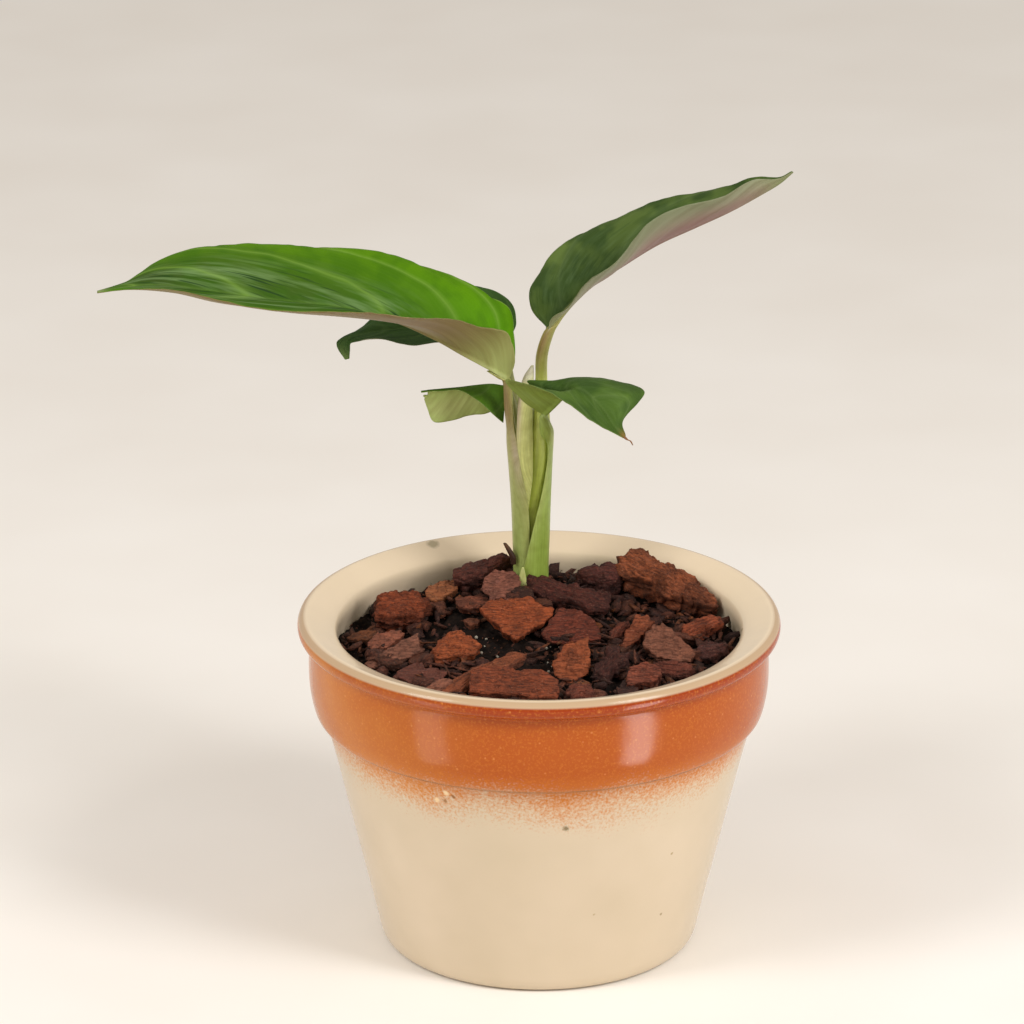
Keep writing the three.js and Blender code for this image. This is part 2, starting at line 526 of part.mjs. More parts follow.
    colour: "redBark", outline: [[-0.9, 0.6], [0.1, 1], [0.7, 0.5], [1, -0.3], [0.4, -0.8], [-0.4, -0.9],
      [-1, -1]] },
  { name: "front_slab", at: [38.5, -22.5], lift: 2.6, size: [12, 7, 3.4], turn: -12, tilt: [18, 0],
    colour: "redBark", outline: [[-1, 0.4], [-0.3, 0.9], [0.7, 0.7], [1, -0.1], [0.3, -0.8],
      [-0.6, -0.7]] },
  { name: "right_dark", at: [49.5, -7], lift: 2, size: [11, 9, 4], turn: 20, tilt: [10, 0],
    colour: "darkBark", outline: [[-1, -0.2], [-0.5, 0.8], [0.3, 1], [1, 0.3], [0.8, -0.6], [0, -1],
      [-0.7, -0.8]] },
  { name: "shredded", at: [20.5, -20], lift: 3.2, size: [17, 8, 5], turn: 62, tilt: [16, -12],
    colour: "darkBark", outline: [[-1, 0.3], [-0.5, 0.7], [0.1, 0.6], [0.5, 1], [1, 0.6], [0.7, 0],
      [0.9, -0.5], [0.3, -1], [-0.3, -0.7], [-0.9, -0.8]] },
  { name: "front_corner", at: [11.5, -41], lift: 2.4, size: [9, 8, 4], turn: 10, tilt: [10, 0],
    colour: "redBark", outline: [[-1, 0.2], [-0.3, 1], [0.6, 0.8], [1, -0.1], [0.5, -1], [-0.6, -0.8]] },
  { name: "front_splinter", at: [-28, -37], lift: 2.8, size: [13, 5, 4.5], turn: 36, tilt: [14, 0],
    colour: "greyBark", outline: [[-1, 0.5], [-0.2, 0.9], [0.6, 0.7], [1, 0], [0.5, -0.8], [-0.4, -1],
      [-0.9, -0.4]] },
  { name: "right_sliver", at: [23.5, 5], lift: 3, size: [12, 4.5, 3], turn: 60, tilt: [16, -10],
    colour: "redBark", outline: [[-1, 0], [-0.4, 0.8], [0.5, 1], [1, 0.2], [0.6, -0.7], [-0.3, -1]] },
];

const chipLayers = [{ height: -0.5, reach: 0.75 }, { height: 0.2, reach: 1 }, { height: 0.5, reach: 0.88 }];
const mulchLayers = [{ height: -0.5, reach: 1 }, { height: 0.5, reach: 0.8 }];
const firstChipSeed = 40;
const breakage = { leastReach: 0.82, reachSpread: 0.26, angleSpread: 0.5, layerSpread: 0.1 };

const givenOutline = (corners) => corners.map(([x, y]) => ({ x: x / 2, y: y / 2 })).reverse();

// A broken outline about the centre, each corner moved by the seeded draw
function drawnOutline(corners, draw) {
  return Array.from({ length: corners }, (_, k) => {
    const angle = 2 * Math.PI * (k + breakage.angleSpread * draw()) / corners;
    const reach = breakage.leastReach + breakage.reachSpread * draw();
    return { x: reach * Math.cos(angle) / 2, y: reach * Math.sin(angle) / 2 };
  });
}

// A chip's geometry about its own centre: layers of one outline, each corner moved a little by the draw
function chipGeometry([length, width, height], outline, layers, draw) {
  const rings = layers.map((layer) => outline.map((corner) => {
    const reach = layer.reach * (1 - breakage.layerSpread * draw());
    const rise = layer.height + breakage.layerSpread * (draw() - 0.5);
    return new THREE.Vector3(corner.x * reach * length, corner.y * reach * width, rise * height);
  }));
  return ringGeometry(rings);
}

function placeChip(geometry, x, y, z, turn, tilt) {
  geometry.rotateY(toRadians(tilt[1]));
  geometry.rotateX(toRadians(tilt[0]));
  geometry.rotateZ(toRadians(turn));
  geometry.translate(x, y, z);
  return geometry;
}

function barkSolid(chip, index, clearance = 0) {
  const size = chip.size.map((length) => length + 2 * clearance);
  const [x, y] = chip.at;
  const draw = seededDraw(firstChipSeed + index);
  const geometry = chipGeometry(size, givenOutline(chip.outline), chipLayers, draw);
  return toSolid(placeChip(geometry, x, y, moundTop(x, y) + chip.lift, chip.turn, chip.tilt));
}

// Mulch: a thin mat on the soil with small chips sunk into it, and a window where the bare soil shows

const mulch = {
  bottom: 80, mat: 1.6, sink: 0.2, chips: 44, corners: 5, seed: 7, firstChipSeed: 900,
  length: [7, 12], widthShare: [0.5, 0.8], height: [2.6, 4.2], tiltSpread: 30, reach: 53, windowMargin: 3,
};
const bareWindows = [{ x: -14, y: 0, reachX: 15, reachY: 13 }, { x: 1, y: -19, reachX: 11, reachY: 9 }];
const windowDepth = 40;
const windowSides = 20;

function insideWindow(window, x, y, margin) {
  const across = (x - window.x) / (window.reachX + margin);
  const along = (y - window.y) / (window.reachY + margin);
  return across ** 2 + along ** 2 < 1;
}

function windowSolid(window) {
  const geometry = new THREE.CylinderGeometry(1, 1, windowDepth, windowSides);
  geometry.rotateX(Math.PI / 2);
  geometry.scale(window.reachX, window.reachY, 1);
  geometry.translate(window.x, window.y, soilEdgeHeight);
  return toSolid(geometry);
}

function mulchSolid(lid) {
  let solid = fillingSolid(mulch.bottom, gap + mulch.mat, gap).subtract(lid);
  for (const window of bareWindows) solid = solid.subtract(windowSolid(window));
  const draw = seededDraw(mulch.seed);
  const between = ([low, high]) => low + (high - low) * draw();
  for (let k = 0; k < mulch.chips; k++) {
    const radius = mulch.reach * Math.sqrt(draw());
    const angle = 2 * Math.PI * draw();
    const [x, y] = [radius * Math.cos(angle), radius * Math.sin(angle)];
    const length = between(mulch.length);
    const size = [length, length * between(mulch.widthShare), between(mulch.height)];
    const turn = 360 * draw();
    const tilt = [mulch.tiltSpread * (draw() - 0.5), mulch.tiltSpread * (draw() - 0.5)];
    if (bareWindows.some((window) => insideWindow(window, x, y, mulch.windowMargin))) continue;
    const z = moundTop(x, y) + gap + mulch.mat * (1 - mulch.sink);
    const chipDraw = seededDraw(mulch.firstChipSeed + k);
    const geometry = chipGeometry(size, drawnOutline(mulch.corners, chipDraw), mulchLayers, chipDraw);
    solid = solid.add(toSolid(placeChip(geometry, x, y, z, turn, tilt)));
  }
  return solid.subtract(lid);
}

// Assembly

const plant = new THREE.Group();

function addMesh(name, geometry, color, rough) {
  const material = new THREE.MeshStandardMaterial({ color, roughness: rough, metalness: 0 });
  const mesh = new THREE.Mesh(geometry, material);
  mesh.name = name;
  plant.add(mesh);
}

const clearances = [
  toSolid(sheathGeometry(stalkLeft, stalkRows, sheathColumns, gap)),
  toSolid(sheathGeometry(stalkFolded, stalkRows, sheathColumns, gap)),
  toSolid(rodGeometry(stalkRight, stalkRows, stalkSides, gap)),
  toSolid(rodGeometry(stalkTorn, rodRows, rodSides, gap)),
  toSolid(rodGeometry(stalkBack, rodRows, rodSides, gap)),
  toSolid(rodGeometry(dryStub, rodRows, rodSides, gap)),
  toSolid(sheathGeometry(basalBract, bractRows, bractRows, gap)),
];
const clearOfStalks = (solid) => clearances.reduce((rest, stalk) => rest.subtract(stalk), solid);

addMesh("pot", potGeometry(), colours.glaze, roughness.glaze);

const soil = fillingSolid(floorHeight + gap, 0, gap);
addMesh("soil", toGeometry(clearOfStalks(soil)), colours.soil, roughness.soil);

const soilLid = fillingSolid(floorHeight + gap, gap, gap);
const placed = [];
bark.forEach((chip, index) => {
  let solid = clearOfStalks(barkSolid(chip, index).subtract(soilLid));
  for (const earlier of placed) solid = solid.subtract(earlier);
  placed.push(barkSolid(chip, index, gap));
  addMesh(`bark_${chip.name}`, toGeometry(solid), colours[chip.colour], roughness.bark);
});

const mulchBody = placed.reduce((rest, chip) => rest.subtract(chip), clearOfStalks(mulchSolid(soilLid)));
addMesh("bark_mulch", largestPiece(toGeometry(mulchBody)), colours.mulch, roughness.bark);

const stemParts = {
  stalk_left: [sheathGeometry(stalkLeft, stalkRows, sheathColumns), colours.stalk],
  stalk_folded: [sheathGeometry(stalkFolded, stalkRows, sheathColumns), colours.stalk],
  stalk_right: [rodGeometry(stalkRight, stalkRows, stalkSides), colours.stalk],
  stalk_torn: [rodGeometry(stalkTorn, rodRows, rodSides), colours.stalk],
  stalk_back: [rodGeometry(stalkBack, rodRows, rodSides), colours.stalk],
  new_leaf: [rodGeometry(newLeafPoint, rodRows, rodSides), colours.newLeaf],
  dry_stub: [rodGeometry(dryStub, rodRows, rodSides), colours.stub],
  basal_bract: [sheathGeometry(basalBract, bractRows, bractRows), colours.bract],
};
for (const [name, [geometry, colour]] of Object.entries(stemParts)) {
  addMesh(name, geometry, colour, roughness.plant);
}

for (const leaf of [leafLeft, leafRight, leafFolded, leafTorn, leafBack]) {
  addMesh(leaf.name, bladeGeometry(leaf), leaf.colour, roughness.plant);
}

export default plant;
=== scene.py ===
# Potted jungle velvet calathea: a young plant with five leaves in a glazed pot, mulched with bark chips.
# Lengths in the tables are millimetres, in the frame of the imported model: +Z up, origin under the pot's
# foot, +X to the right and +Y away from the viewer. Meshes are written in metres.

import itertools
import math

import bpy
import numpy as np
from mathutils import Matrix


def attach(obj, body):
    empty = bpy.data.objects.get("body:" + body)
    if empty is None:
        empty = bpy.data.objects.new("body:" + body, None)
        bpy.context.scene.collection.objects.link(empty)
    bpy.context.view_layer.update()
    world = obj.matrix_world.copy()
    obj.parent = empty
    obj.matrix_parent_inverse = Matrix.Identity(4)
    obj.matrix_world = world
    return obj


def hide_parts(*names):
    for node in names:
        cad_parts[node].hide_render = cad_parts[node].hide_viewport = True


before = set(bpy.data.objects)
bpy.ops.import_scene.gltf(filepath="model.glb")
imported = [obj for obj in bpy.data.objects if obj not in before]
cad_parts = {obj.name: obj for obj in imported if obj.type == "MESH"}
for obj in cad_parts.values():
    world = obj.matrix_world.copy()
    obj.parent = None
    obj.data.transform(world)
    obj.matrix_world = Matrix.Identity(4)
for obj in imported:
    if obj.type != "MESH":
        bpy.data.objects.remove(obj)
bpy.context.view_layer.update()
mm = 0.001
gap = 0.3  # between the soil, the pot's wall and what lies on them


def linear(hexColour):
    # sRGB to linear: a straight line below 0.04045, a power of 2.4 above it
    channels = [int(hexColour[k:k + 2], 16) / 255 for k in (1, 3, 5)]
    return [c / 12.92 if c <= 0.04045 else ((c + 0.055) / 1.055) ** 2.4 for c in channels] + [1.0]


def addNode(material, kind, settings=None, inputs=None, stops=()):
    # one node of a material with its settings, its inputs (each a value or another node's output) and the
    # stops of its colour ramp
    tree = material.node_tree
    node = tree.nodes.new("ShaderNode" + kind)
    for name, value in (settings or {}).items():
        setattr(node, name, value)
    for name, value in (inputs or {}).items():
        if isinstance(value, bpy.types.NodeSocket):
            tree.links.new(value, node.inputs[name])
        else:
            node.inputs[name].default_value = value
    for k, (place, hexColour) in enumerate(stops):
        element = node.color_ramp.elements[k] if k < 2 else node.color_ramp.elements.new(place)
        element.position = place
        element.color = linear(hexColour)
    return node


def startMaterial(name):
    # a material with an empty node tree
    material = bpy.data.materials.new(name)
    material.use_nodes = True
    material.node_tree.nodes.clear()
    return material


def closeMaterial(material, skin, colour, bump=None):
    # skin holds the fixed values of the shader's own sockets, colour and bump are the worked-out sockets
    shader = addNode(material, "BsdfPrincipled", {}, {**skin, "Base Color": colour})
    if bump is not None:
        material.node_tree.links.new(bump, shader.inputs["Normal"])
    addNode(material, "OutputMaterial", {}, {"Surface": shader.outputs["BSDF"]})
    return material


def latticeNoise(points, cell, seed):
    # value noise from -1 to 1: a random value at each corner of a cubic lattice, blended by 3u^2 - 2u^3.
    # The corner's whole numbers times large primes, with their bits mixed, make its random value.
    scaled = np.asarray(points, float) / cell
    base = np.floor(scaled).astype(np.int64)
    share = scaled - base
    share = share * share * (3 - 2 * share)
    total = np.zeros(scaled.shape[:-1])
    for corner in itertools.product((0, 1), repeat=3):
        x, y, z = np.moveaxis(base + corner, -1, 0)
        mixed = (x * 73856093 ^ y * 19349663 ^ z * 83492791 ^ seed * 26544357) & 0xFFFFFFF
        mixed = (mixed ^ (mixed >> 13)) * 1274126177 & 0xFFFFFFF
        value = ((mixed ^ (mixed >> 15)) & 0xFFFF) / 32767.5 - 1
        total += value * np.prod(np.where(corner, share, 1 - share), axis=-1)
    return total


def layeredNoise(points, cell, seed, octaves=3):
    # a sum of value noises, each of half the cell and half the height of the one before
    return sum(latticeNoise(points, cell / 2 ** k, seed + k) / 2 ** k for k in range(octaves))


def seededDraw(seed):
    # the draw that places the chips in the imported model: a 32-bit counter whose bits are mixed, from 0 to 1
    state = seed

    def draw():
        nonlocal state
        state = (state + 0x6D2B79F5) & 0xFFFFFFFF
        mixed = (state ^ state >> 15) * (1 | state) & 0xFFFFFFFF
        mixed = (mixed + ((mixed ^ mixed >> 7) * (61 | mixed) & 0xFFFFFFFF) & 0xFFFFFFFF) ^ mixed
        return (mixed ^ mixed >> 14) / 4294967296

    return draw


def alongStations(stations, share):
    # smooth curve through the stations, met at equal steps of share: cubic pieces whose slope at each
    # station is half the step from the one before to the one after
    knots = np.array(stations, float)
    knots = np.vstack([2 * knots[0] - knots[1], knots, 2 * knots[-1] - knots[-2]])
    place = np.clip(share, 0, 1) * (len(stations) - 1)
    first = np.minimum(place.astype(int), len(stations) - 2)
    u = (place - first)[..., None]
    before, start, end, after = (knots[first + step] for step in range(4))
    cubic = 3 * (start - end) + after - before
    return start + u / 2 * (end - before + u * (2 * before - 5 * start + 4 * end - after + u * cubic))


def tubeFaces(rows, columns):
    # quads round a stack of rings, and a fan of triangles to a centre point at either end
    i, j = np.meshgrid(np.arange(rows - 1), np.arange(columns), indexing="ij")
    k = (j + 1) % columns
    quads = np.stack([i * columns + j, i * columns + k, (i + 1) * columns + k, (i + 1) * columns + j], -1)
    j = np.arange(columns)
    k = (j + 1) % columns
    last = (rows - 1) * columns
    low = np.stack([np.full(columns, rows * columns), k, j], -1)
    high = np.stack([np.full(columns, rows * columns + 1), last + j, last + k], -1)
    return [quads.reshape(-1, 4), low, high]


def sheetFaces(rows, columns):
    # a front grid, a back grid wound the other way, and a strip round their border
    i, j = np.meshgrid(np.arange(rows - 1), np.arange(columns - 1), indexing="ij")
    corner = i * columns + j
    front = np.stack([corner, corner + columns, corner + columns + 1, corner + 1], -1).reshape(-1, 4)
    size = rows * columns
    across, down = np.arange(columns - 1), np.arange(rows - 1)
    edge = np.concatenate([across, (down + 1) * columns - 1, size - 1 - across, (rows - 1 - down) * columns])
    after = np.roll(edge, -1)
    border = np.stack([edge, after, after + size, edge + size], -1)
    return [front, front[:, ::-1] + size, border]


def surfaceNormals(grid):
    # unit vectors along the step down the rows crossed with the step across the columns
    down, across = np.gradient(grid, axis=0), np.gradient(grid, axis=1)
    normals = np.cross(down, across)
    return normals / np.maximum(np.linalg.norm(normals, axis=-1, keepdims=True), 1e-9)


def washOver(u, v, base, washes):
    # base colour, then each wash over it with the weight strength * exp(-((u-u0)/du)^2 - ((v-v0)/dv)^2)
    colour = np.ones(u.shape + (1,)) * np.array(linear(base))
    for hexColour, (centreU, reachU), (centreV, reachV), strength in washes:
        weight = strength * np.exp(-((u - centreU) / reachU) ** 2 - ((v - centreV) / reachV) ** 2)
        colour += weight[..., None] * (np.array(linear(hexColour)) - colour)
    return colour


def makePiece(name, nodes, points, faces, materials, values=None, faceKinds=None):
    # a closed, smooth mesh from its points in mm and blocks of faces, riding on the body in place of the
    # nodes; values are attributes of its points, and faceKinds says which of the materials each face has
    mesh = bpy.data.meshes.new(name)
    corners = (np.reshape(points, (-1, 3)) * mm).tolist()
    mesh.from_pydata(corners, [], [face for faceBlock in faces for face in faceBlock.tolist()])
    kinds = {1: ("FLOAT", "value"), 3: ("FLOAT_VECTOR", "vector"), 4: ("FLOAT_COLOR", "color")}
    for label, array in (values or {}).items():
        kind, field = kinds[1 if np.ndim(array) == 1 else np.shape(array)[-1]]
        mesh.attributes.new(label, kind, "POINT").data.foreach_set(field, np.ravel(array).astype(np.float32))
    for material in materials:
        mesh.materials.append(material)
    if faceKinds is not None:
        mesh.polygons.foreach_set("material_index", faceKinds)
    mesh.polygons.foreach_set("use_smooth", np.full(len(mesh.polygons), True))
    piece = bpy.data.objects.new(name, mesh)
    bpy.context.scene.collection.objects.link(piece)
    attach(piece, "root")
    if nodes:
        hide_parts(*nodes)


# Camera at the photograph's angle

viewpoint = {"at": (-7.82, -1700.5, 766.8), "pitch": 20.5, "focal": 221.7, "sensor": 36,
             "clip": (100, 50000)}

cameraData = bpy.data.cameras.new("camera")
cameraData.sensor_width = viewpoint["sensor"]
cameraData.lens = viewpoint["focal"]
cameraData.clip_start, cameraData.clip_end = (distance * mm for distance in viewpoint["clip"])
camera = bpy.data.objects.new("camera", cameraData)
camera.location = [value * mm for value in viewpoint["at"]]
camera.rotation_euler = (math.radians(90 - viewpoint["pitch"]), 0, 0)
bpy.context.scene.collection.objects.link(camera)
bpy.context.scene.camera = camera
bpy.context.scene.view_settings.view_transform = "Standard"
print("camera placed")


# Pot: profile of radius and height up the outside, over the lip and down the inside

pot = {
    "outside": [(0, 0), (43.8, 0), (45.6, 1.2), (46.6, 3.6), (47.2, 6.5), (54.6, 37.6), (62, 68.8),
                (63.2, 70), (64.9, 70.9), (66, 74.5), (66.9, 80), (66.9, 88), (66.4, 92.4), (66.6, 93.6),
                (69, 94.6), (70, 96), (70, 97.8), (69.2, 99.3), (67.6, 99.9)],
    "inside": [(66, 99.4), (61.6, 97.8), (59.2, 96.5), (58.5, 95), (58.5, 93), (59.8, 88), (60, 80),
               (57, 66), (43, 13), (40, 8.6), (36, 7), (0, 7)],
    "roundings": 2, "step": 2.5, "segments": 240, "lipFade": 3,
    # how uneven it is, over which width and height, and where that fades out at the foot and the lip
    "unevenness": 0.12, "swayWidth": 1.5, "swayHeight": 30, "swaySeed": 3, "footFade": 20, "rimStart": 98,
    "rimFade": 8,
}


def roundedProfile(points, roundings):
    # corners cut off at a quarter of each side, again and again, which keeps the ends and the flats
    path = np.array(points, float)
    for _ in range(roundings):
        start, end = path[:-1], path[1:]
        cut = np.stack([start + (end - start) / 4, start + (end - start) * 3 / 4], 1).reshape(-1, 2)
        path = np.vstack([path[:1], cut, path[-1:]])
    return path


def filledPath(path, step):
    # the same path with more points on its long sides, one at each step of length
    lengths = np.concatenate([[0], np.cumsum(np.linalg.norm(np.diff(path, axis=0), axis=1))])
    at = np.union1d(lengths, np.arange(0, lengths[-1], step))
    return np.stack([np.interp(at, lengths, path[:, 0]), np.interp(at, lengths, path[:, 1])], -1)


def innerRadius(height):
    # radius of the pot's inside at a height
    radii, heights = np.array(pot["inside"])[::-1].T
    return np.interp(height, heights, radii)


def buildPot(glaze):
    # each profile point carried round the axis at its radius, less a slow noise as in a thrown pot, and
    # closed by a centre point at either end
    outside = roundedProfile(pot["outside"] + pot["inside"], pot["roundings"])
    profile = filledPath(outside, pot["step"])
    angles = np.linspace(0, 2 * np.pi, pot["segments"], endpoint=False)
    radius, height = profile[1:-1, :1], profile[1:-1, 1:]
    unit = np.stack([np.cos(angles), np.sin(angles)], -1)
    around = unit * pot["swayWidth"]
    cells = np.broadcast_arrays(around[:, 0], around[:, 1], height / pot["swayHeight"])
    sway = latticeNoise(np.stack(cells, -1), 1, pot["swaySeed"])
    below = (pot["rimStart"] - height) / pot["rimFade"]
    firm = np.clip(height / pot["footFade"], 0, 1) * np.clip(below, 0, 1)
    carried = radius - pot["unevenness"] * firm * (1 + sway)
    rings = np.stack([carried * unit[:, 0], carried * unit[:, 1], height + 0 * carried], -1)
    points = np.vstack([rings.reshape(-1, 3), [[0, 0, 0], [0, 0, profile[-1, 1]]]])
    top = np.argmax(profile[1:-1, 1])
    share = np.clip((top - np.arange(len(rings))) / pot["lipFade"], 0, 1)
    outer = np.concatenate([np.repeat(share, pot["segments"]), [1, 0]])
    makePiece("glazed_pot", ["pot"], points, tubeFaces(len(rings), pot["segments"]), [glaze],
              {"outer": outer})


# Reduction glaze over stoneware: cream with an iron-orange band that is sprayed thinner below the ledge.
# Glossy and slightly uneven, with paler iron specks and a few pits and blisters.

glazeLook = {
    # edge is the dark olive brown of the painted shade along the ledge's edge
    "cream": "#DDCBB2", "inside": "#F2DCBC", "shade": "#CFBEA2", "lip": "#BC9C78", "golden": "#D8923E",
    "orange": "#B0520C", "deep": "#9B3704", "light": "#CC7824", "speck": "#D98F48", "edge": "#8C5E24",
    # sizes in mm: clouds, spray, specks, the fray of the marks and its cells to the mm, and the ripple. The
    # spray's droplets are really about 0.3 mm and are drawn coarser, so that they show.
    "clouds": 22, "spray": 0.75, "specks": 2.1, "frayCells": 0.9, "fray": 1.2, "ripple": 9,
    # heights in mm: the sprayed edge and how far cloud and spray shift it, the band's top, its run from
    # light to deep, the ledge's edge and the lip; and how far left it turns golden
    "sprayEdge": (76.5, 94.0), "cloudShift": 16.0, "sprayShift": 26.0, "bandTop": (98.1, 98.7),
    "orangeRun": (64.0, 99.0), "ledge": 70.1, "lipTurn": (97.9, 98.8), "goldenSide": (-15.0, -70.0),
    # how far the inside's cream is painted lighter and warmer, as painted light
    "insideLightShare": 0.6,
    # pits, stains and blisters, the last a mark of painted shade: place, radius and tone
    "marks": [((-29.1, -53.4, 63.7), 1.1, "#F0D2A4"), ((-26.5, -55.5, 66.8), 1.2, "#F3D9AE"),
              ((-24.5, -56.2, 65.9), 0.9, "#8C5A2C"), ((-26.8, -54.6, 64.0), 0.9, "#9A6A38"),
              ((7.5, -58.8, 57.1), 1.2, "#7A6A48"), ((35.2, -36.3, 20.7), 0.7, "#A08A66"),
              ((15.9, -49.4, 26.3), 0.6, "#B39A72"), ((38.1, -40.4, 41.4), 0.6, "#B09870"),
              # the last mark, dark on the right of the inner throat, is painted shade
              ((-31.4, 57.6, 99.3), 2.4, "#A89A7C"), ((58.7, -3.0, 95.7), 0.9, "#8C7C60")],
}


def glazeMaterial():
    # height plus cloud and spray noise decides where orange covers cream; the specks are the middles of some
    # cells of a cell pattern, and a slow ripple and the spray's grain make the relief
    look = glazeLook
    material = startMaterial("reduction glaze on stoneware")
    place = addNode(material, "TexCoord").outputs["Object"]
    parts = addNode(material, "SeparateXYZ", {}, {"Vector": place})
    aside, height = (addNode(material, "Math", {"operation": "MULTIPLY"},
                             {0: parts.outputs[axis], 1: 1 / mm}).outputs[0] for axis in "XZ")
    outer = addNode(material, "Attribute", {"attribute_name": "outer"}).outputs["Fac"]
    cloud = addNode(material, "TexNoise", {}, {"Vector": place, "Scale": 1 / (look["clouds"] * mm),
                                               "Detail": 2.0}).outputs["Fac"]
    spray = addNode(material, "TexNoise", {}, {"Vector": place, "Scale": 1 / (look["spray"] * mm),
                                               "Detail": 2.0, "Roughness": 0.7}).outputs["Fac"]
    fleck = addNode(material, "TexVoronoi", {}, {"Vector": place, "Scale": 1 / (look["specks"] * mm)})
    edge = height
    for noise, shift in ((cloud, look["cloudShift"]), (spray, look["sprayShift"])):
        edge = addNode(material, "Math", {"operation": "MULTIPLY_ADD"},
                       {0: noise, 1: shift, 2: edge}).outputs[0]
    band = addNode(material, "MapRange", {"interpolation_type": "SMOOTHSTEP"},
                   {"Value": edge, "From Min": look["sprayEdge"][0],
                    "From Max": look["sprayEdge"][1]}).outputs[0]
    top = addNode(material, "MapRange", {}, {"Value": height, "From Min": look["bandTop"][0],
                                             "From Max": look["bandTop"][1], "To Min": 1.0,
                                             "To Max": 0.0}).outputs[0]
    cream = addNode(material, "MixRGB", {}, {"Fac": cloud, "Color1": linear(look["shade"]),
                                             "Color2": linear(look["cream"])}).outputs[0]
    run = addNode(material, "MapRange", {}, {"Value": height, "From Min": look["orangeRun"][0],
                                             "From Max": look["orangeRun"][1]}).outputs[0]
    orange = addNode(material, "ValToRGB", {}, {"Fac": run}, [
        (0, look["light"]), (0.95, look["deep"]), (0.35, look["orange"]), (0.75, look["orange"])]).outputs[0]
    mottle = addNode(material, "MapRange", {}, {"Value": spray, "From Min": 0.5, "From Max": 0.72,
                                                "To Min": 0.0, "To Max": 0.55}).outputs[0]
    # the orange lies thinner, and so paler, towards the left
    side = addNode(material, "MapRange", {}, {"Value": aside, "From Min": look["goldenSide"][0],
                                              "From Max": look["goldenSide"][1], "To Min": 0.0,
                                              "To Max": 1.0}).outputs[0]
    thinner = addNode(material, "MapRange", {}, {"Value": cloud, "From Min": 0.35, "From Max": 0.65,
                                                 "To Min": 0.25, "To Max": 0.6}).outputs[0]
    speck = addNode(material, "MapRange", {}, {"Value": fleck.outputs["Distance"], "From Min": 0.08,
                                               "From Max": 0.2, "To Min": 0.5, "To Max": 0.0}).outputs[0]
    chance = addNode(material, "SeparateXYZ", {}, {"Vector": fleck.outputs["Color"]}).outputs["X"]
    chosen = addNode(material, "Math", {"operation": "GREATER_THAN"}, {0: chance, 1: 0.7}).outputs[0]
    # over the lip it turns brownish, and along the ledge's edge a dark olive-brown line is painted shade
    lip = addNode(material, "MapRange", {}, {"Value": height, "From Min": look["lipTurn"][0],
                                             "From Max": look["lipTurn"][1], "To Min": 0.0,
                                             "To Max": 0.85}).outputs[0]
    above = addNode(material, "Math", {"operation": "SUBTRACT"}, {0: height, 1: look["ledge"]}).outputs[0]
    away = addNode(material, "Math", {"operation": "ABSOLUTE"}, {0: above}).outputs[0]
    # painted shade: a dark line within a millimetre of the ledge's edge
    thin = addNode(material, "MapRange", {}, {"Value": away, "From Min": 0.25, "From Max": 1.0,
                                              "To Min": 0.6, "To Max": 0.0}).outputs[0]
    # painted light: the cream inside is lighter and warmer than outside, for light on the inner wall and off
    # the bark
    inside = addNode(material, "Math", {"operation": "MULTIPLY_ADD"},
                     {0: outer, 1: -look["insideLightShare"], 2: look["insideLightShare"]}).outputs[0]
    top, thinner, speck, lip, thin = (
        addNode(material, "Math", {"operation": "MULTIPLY"}, {0: share, 1: by}).outputs[0]
        for share, by in ((top, outer), (thinner, side), (speck, chosen), (lip, outer), (thin, outer)))
    band = addNode(material, "Math", {"operation": "MULTIPLY"}, {0: band, 1: top}).outputs[0]
    for share, tone in ((mottle, "light"), (thinner, "golden"), (speck, "speck")):
        orange = addNode(material, "MixRGB", {}, {"Fac": share, "Color1": orange,
                                                  "Color2": linear(look[tone])}).outputs[0]
    colour = addNode(material, "MixRGB", {}, {"Fac": band, "Color1": cream, "Color2": orange}).outputs[0]
    for share, tone in ((lip, "lip"), (thin, "edge"), (inside, "inside")):
        colour = addNode(material, "MixRGB", {}, {"Fac": share, "Color1": colour,
                                                  "Color2": linear(look[tone])}).outputs[0]
    # the marks are spots with a ragged edge
    fray = addNode(material, "TexNoise", {}, {"Vector": place,
                                              "Scale": look["frayCells"] / mm}).outputs["Color"]
    ragged = addNode(material, "MixRGB", {"blend_type": "ADD"}, {"Fac": look["fray"] * mm, "Color1": place,
                                                                 "Color2": fray}).outputs[0]
    for centre, radius, hexColour in look["marks"]:
        middle = [value * mm + look["fray"] / 2 * mm for value in centre]
        away = addNode(material, "VectorMath", {"operation": "DISTANCE"},
                       {0: ragged, 1: middle}).outputs["Value"]
        spot = addNode(material, "MapRange", {}, {"Value": away, "From Min": 0.45 * radius * mm,
                                                  "From Max": radius * mm, "To Min": 0.85,
                                                  "To Max": 0.0}).outputs[0]
        colour = addNode(material, "MixRGB", {}, {"Fac": spot, "Color1": colour,
                                                  "Color2": linear(hexColour)}).outputs[0]
    ripple = addNode(material, "TexNoise", {}, {"Vector": place, "Scale": 1 / (look["ripple"] * mm),
                                                "Detail": 1.0}).outputs["Fac"]
    bump = addNode(material, "Bump", {}, {"Strength": 0.25, "Distance": 0.6 * mm,
                                          "Height": ripple}).outputs[0]
    bump = addNode(material, "Bump", {}, {"Strength": 0.12, "Distance": 0.15 * mm, "Height": spray,
                                          "Normal": bump}).outputs[0]
    return closeMaterial(material, {"Roughness": 0.15, "IOR": 1.5, "Specular IOR Level": 0.3}, colour, bump)


buildPot(glazeMaterial())
print("pot glazed")


# Soil: a low mound, highest at the stem, of crumbs on a polar grid. Noises have a height and a cell in mm.

mound = {"x": -2.5, "y": 30, "edge": 88, "height": 9, "spread": 16}
soil = {"wallHeights": (7.3, 13, 66, 80, 86), "rings": 110, "segments": 300, "rimGap": 0.2, "middle": 0.4,
        "lump": 1.1, "lumpCell": 5, "lumpSeed": 11, "crumb": 0.55, "crumbCell": 1.3, "crumbSeed": 29,
        "sink": 0.5, "grain": 1.6}
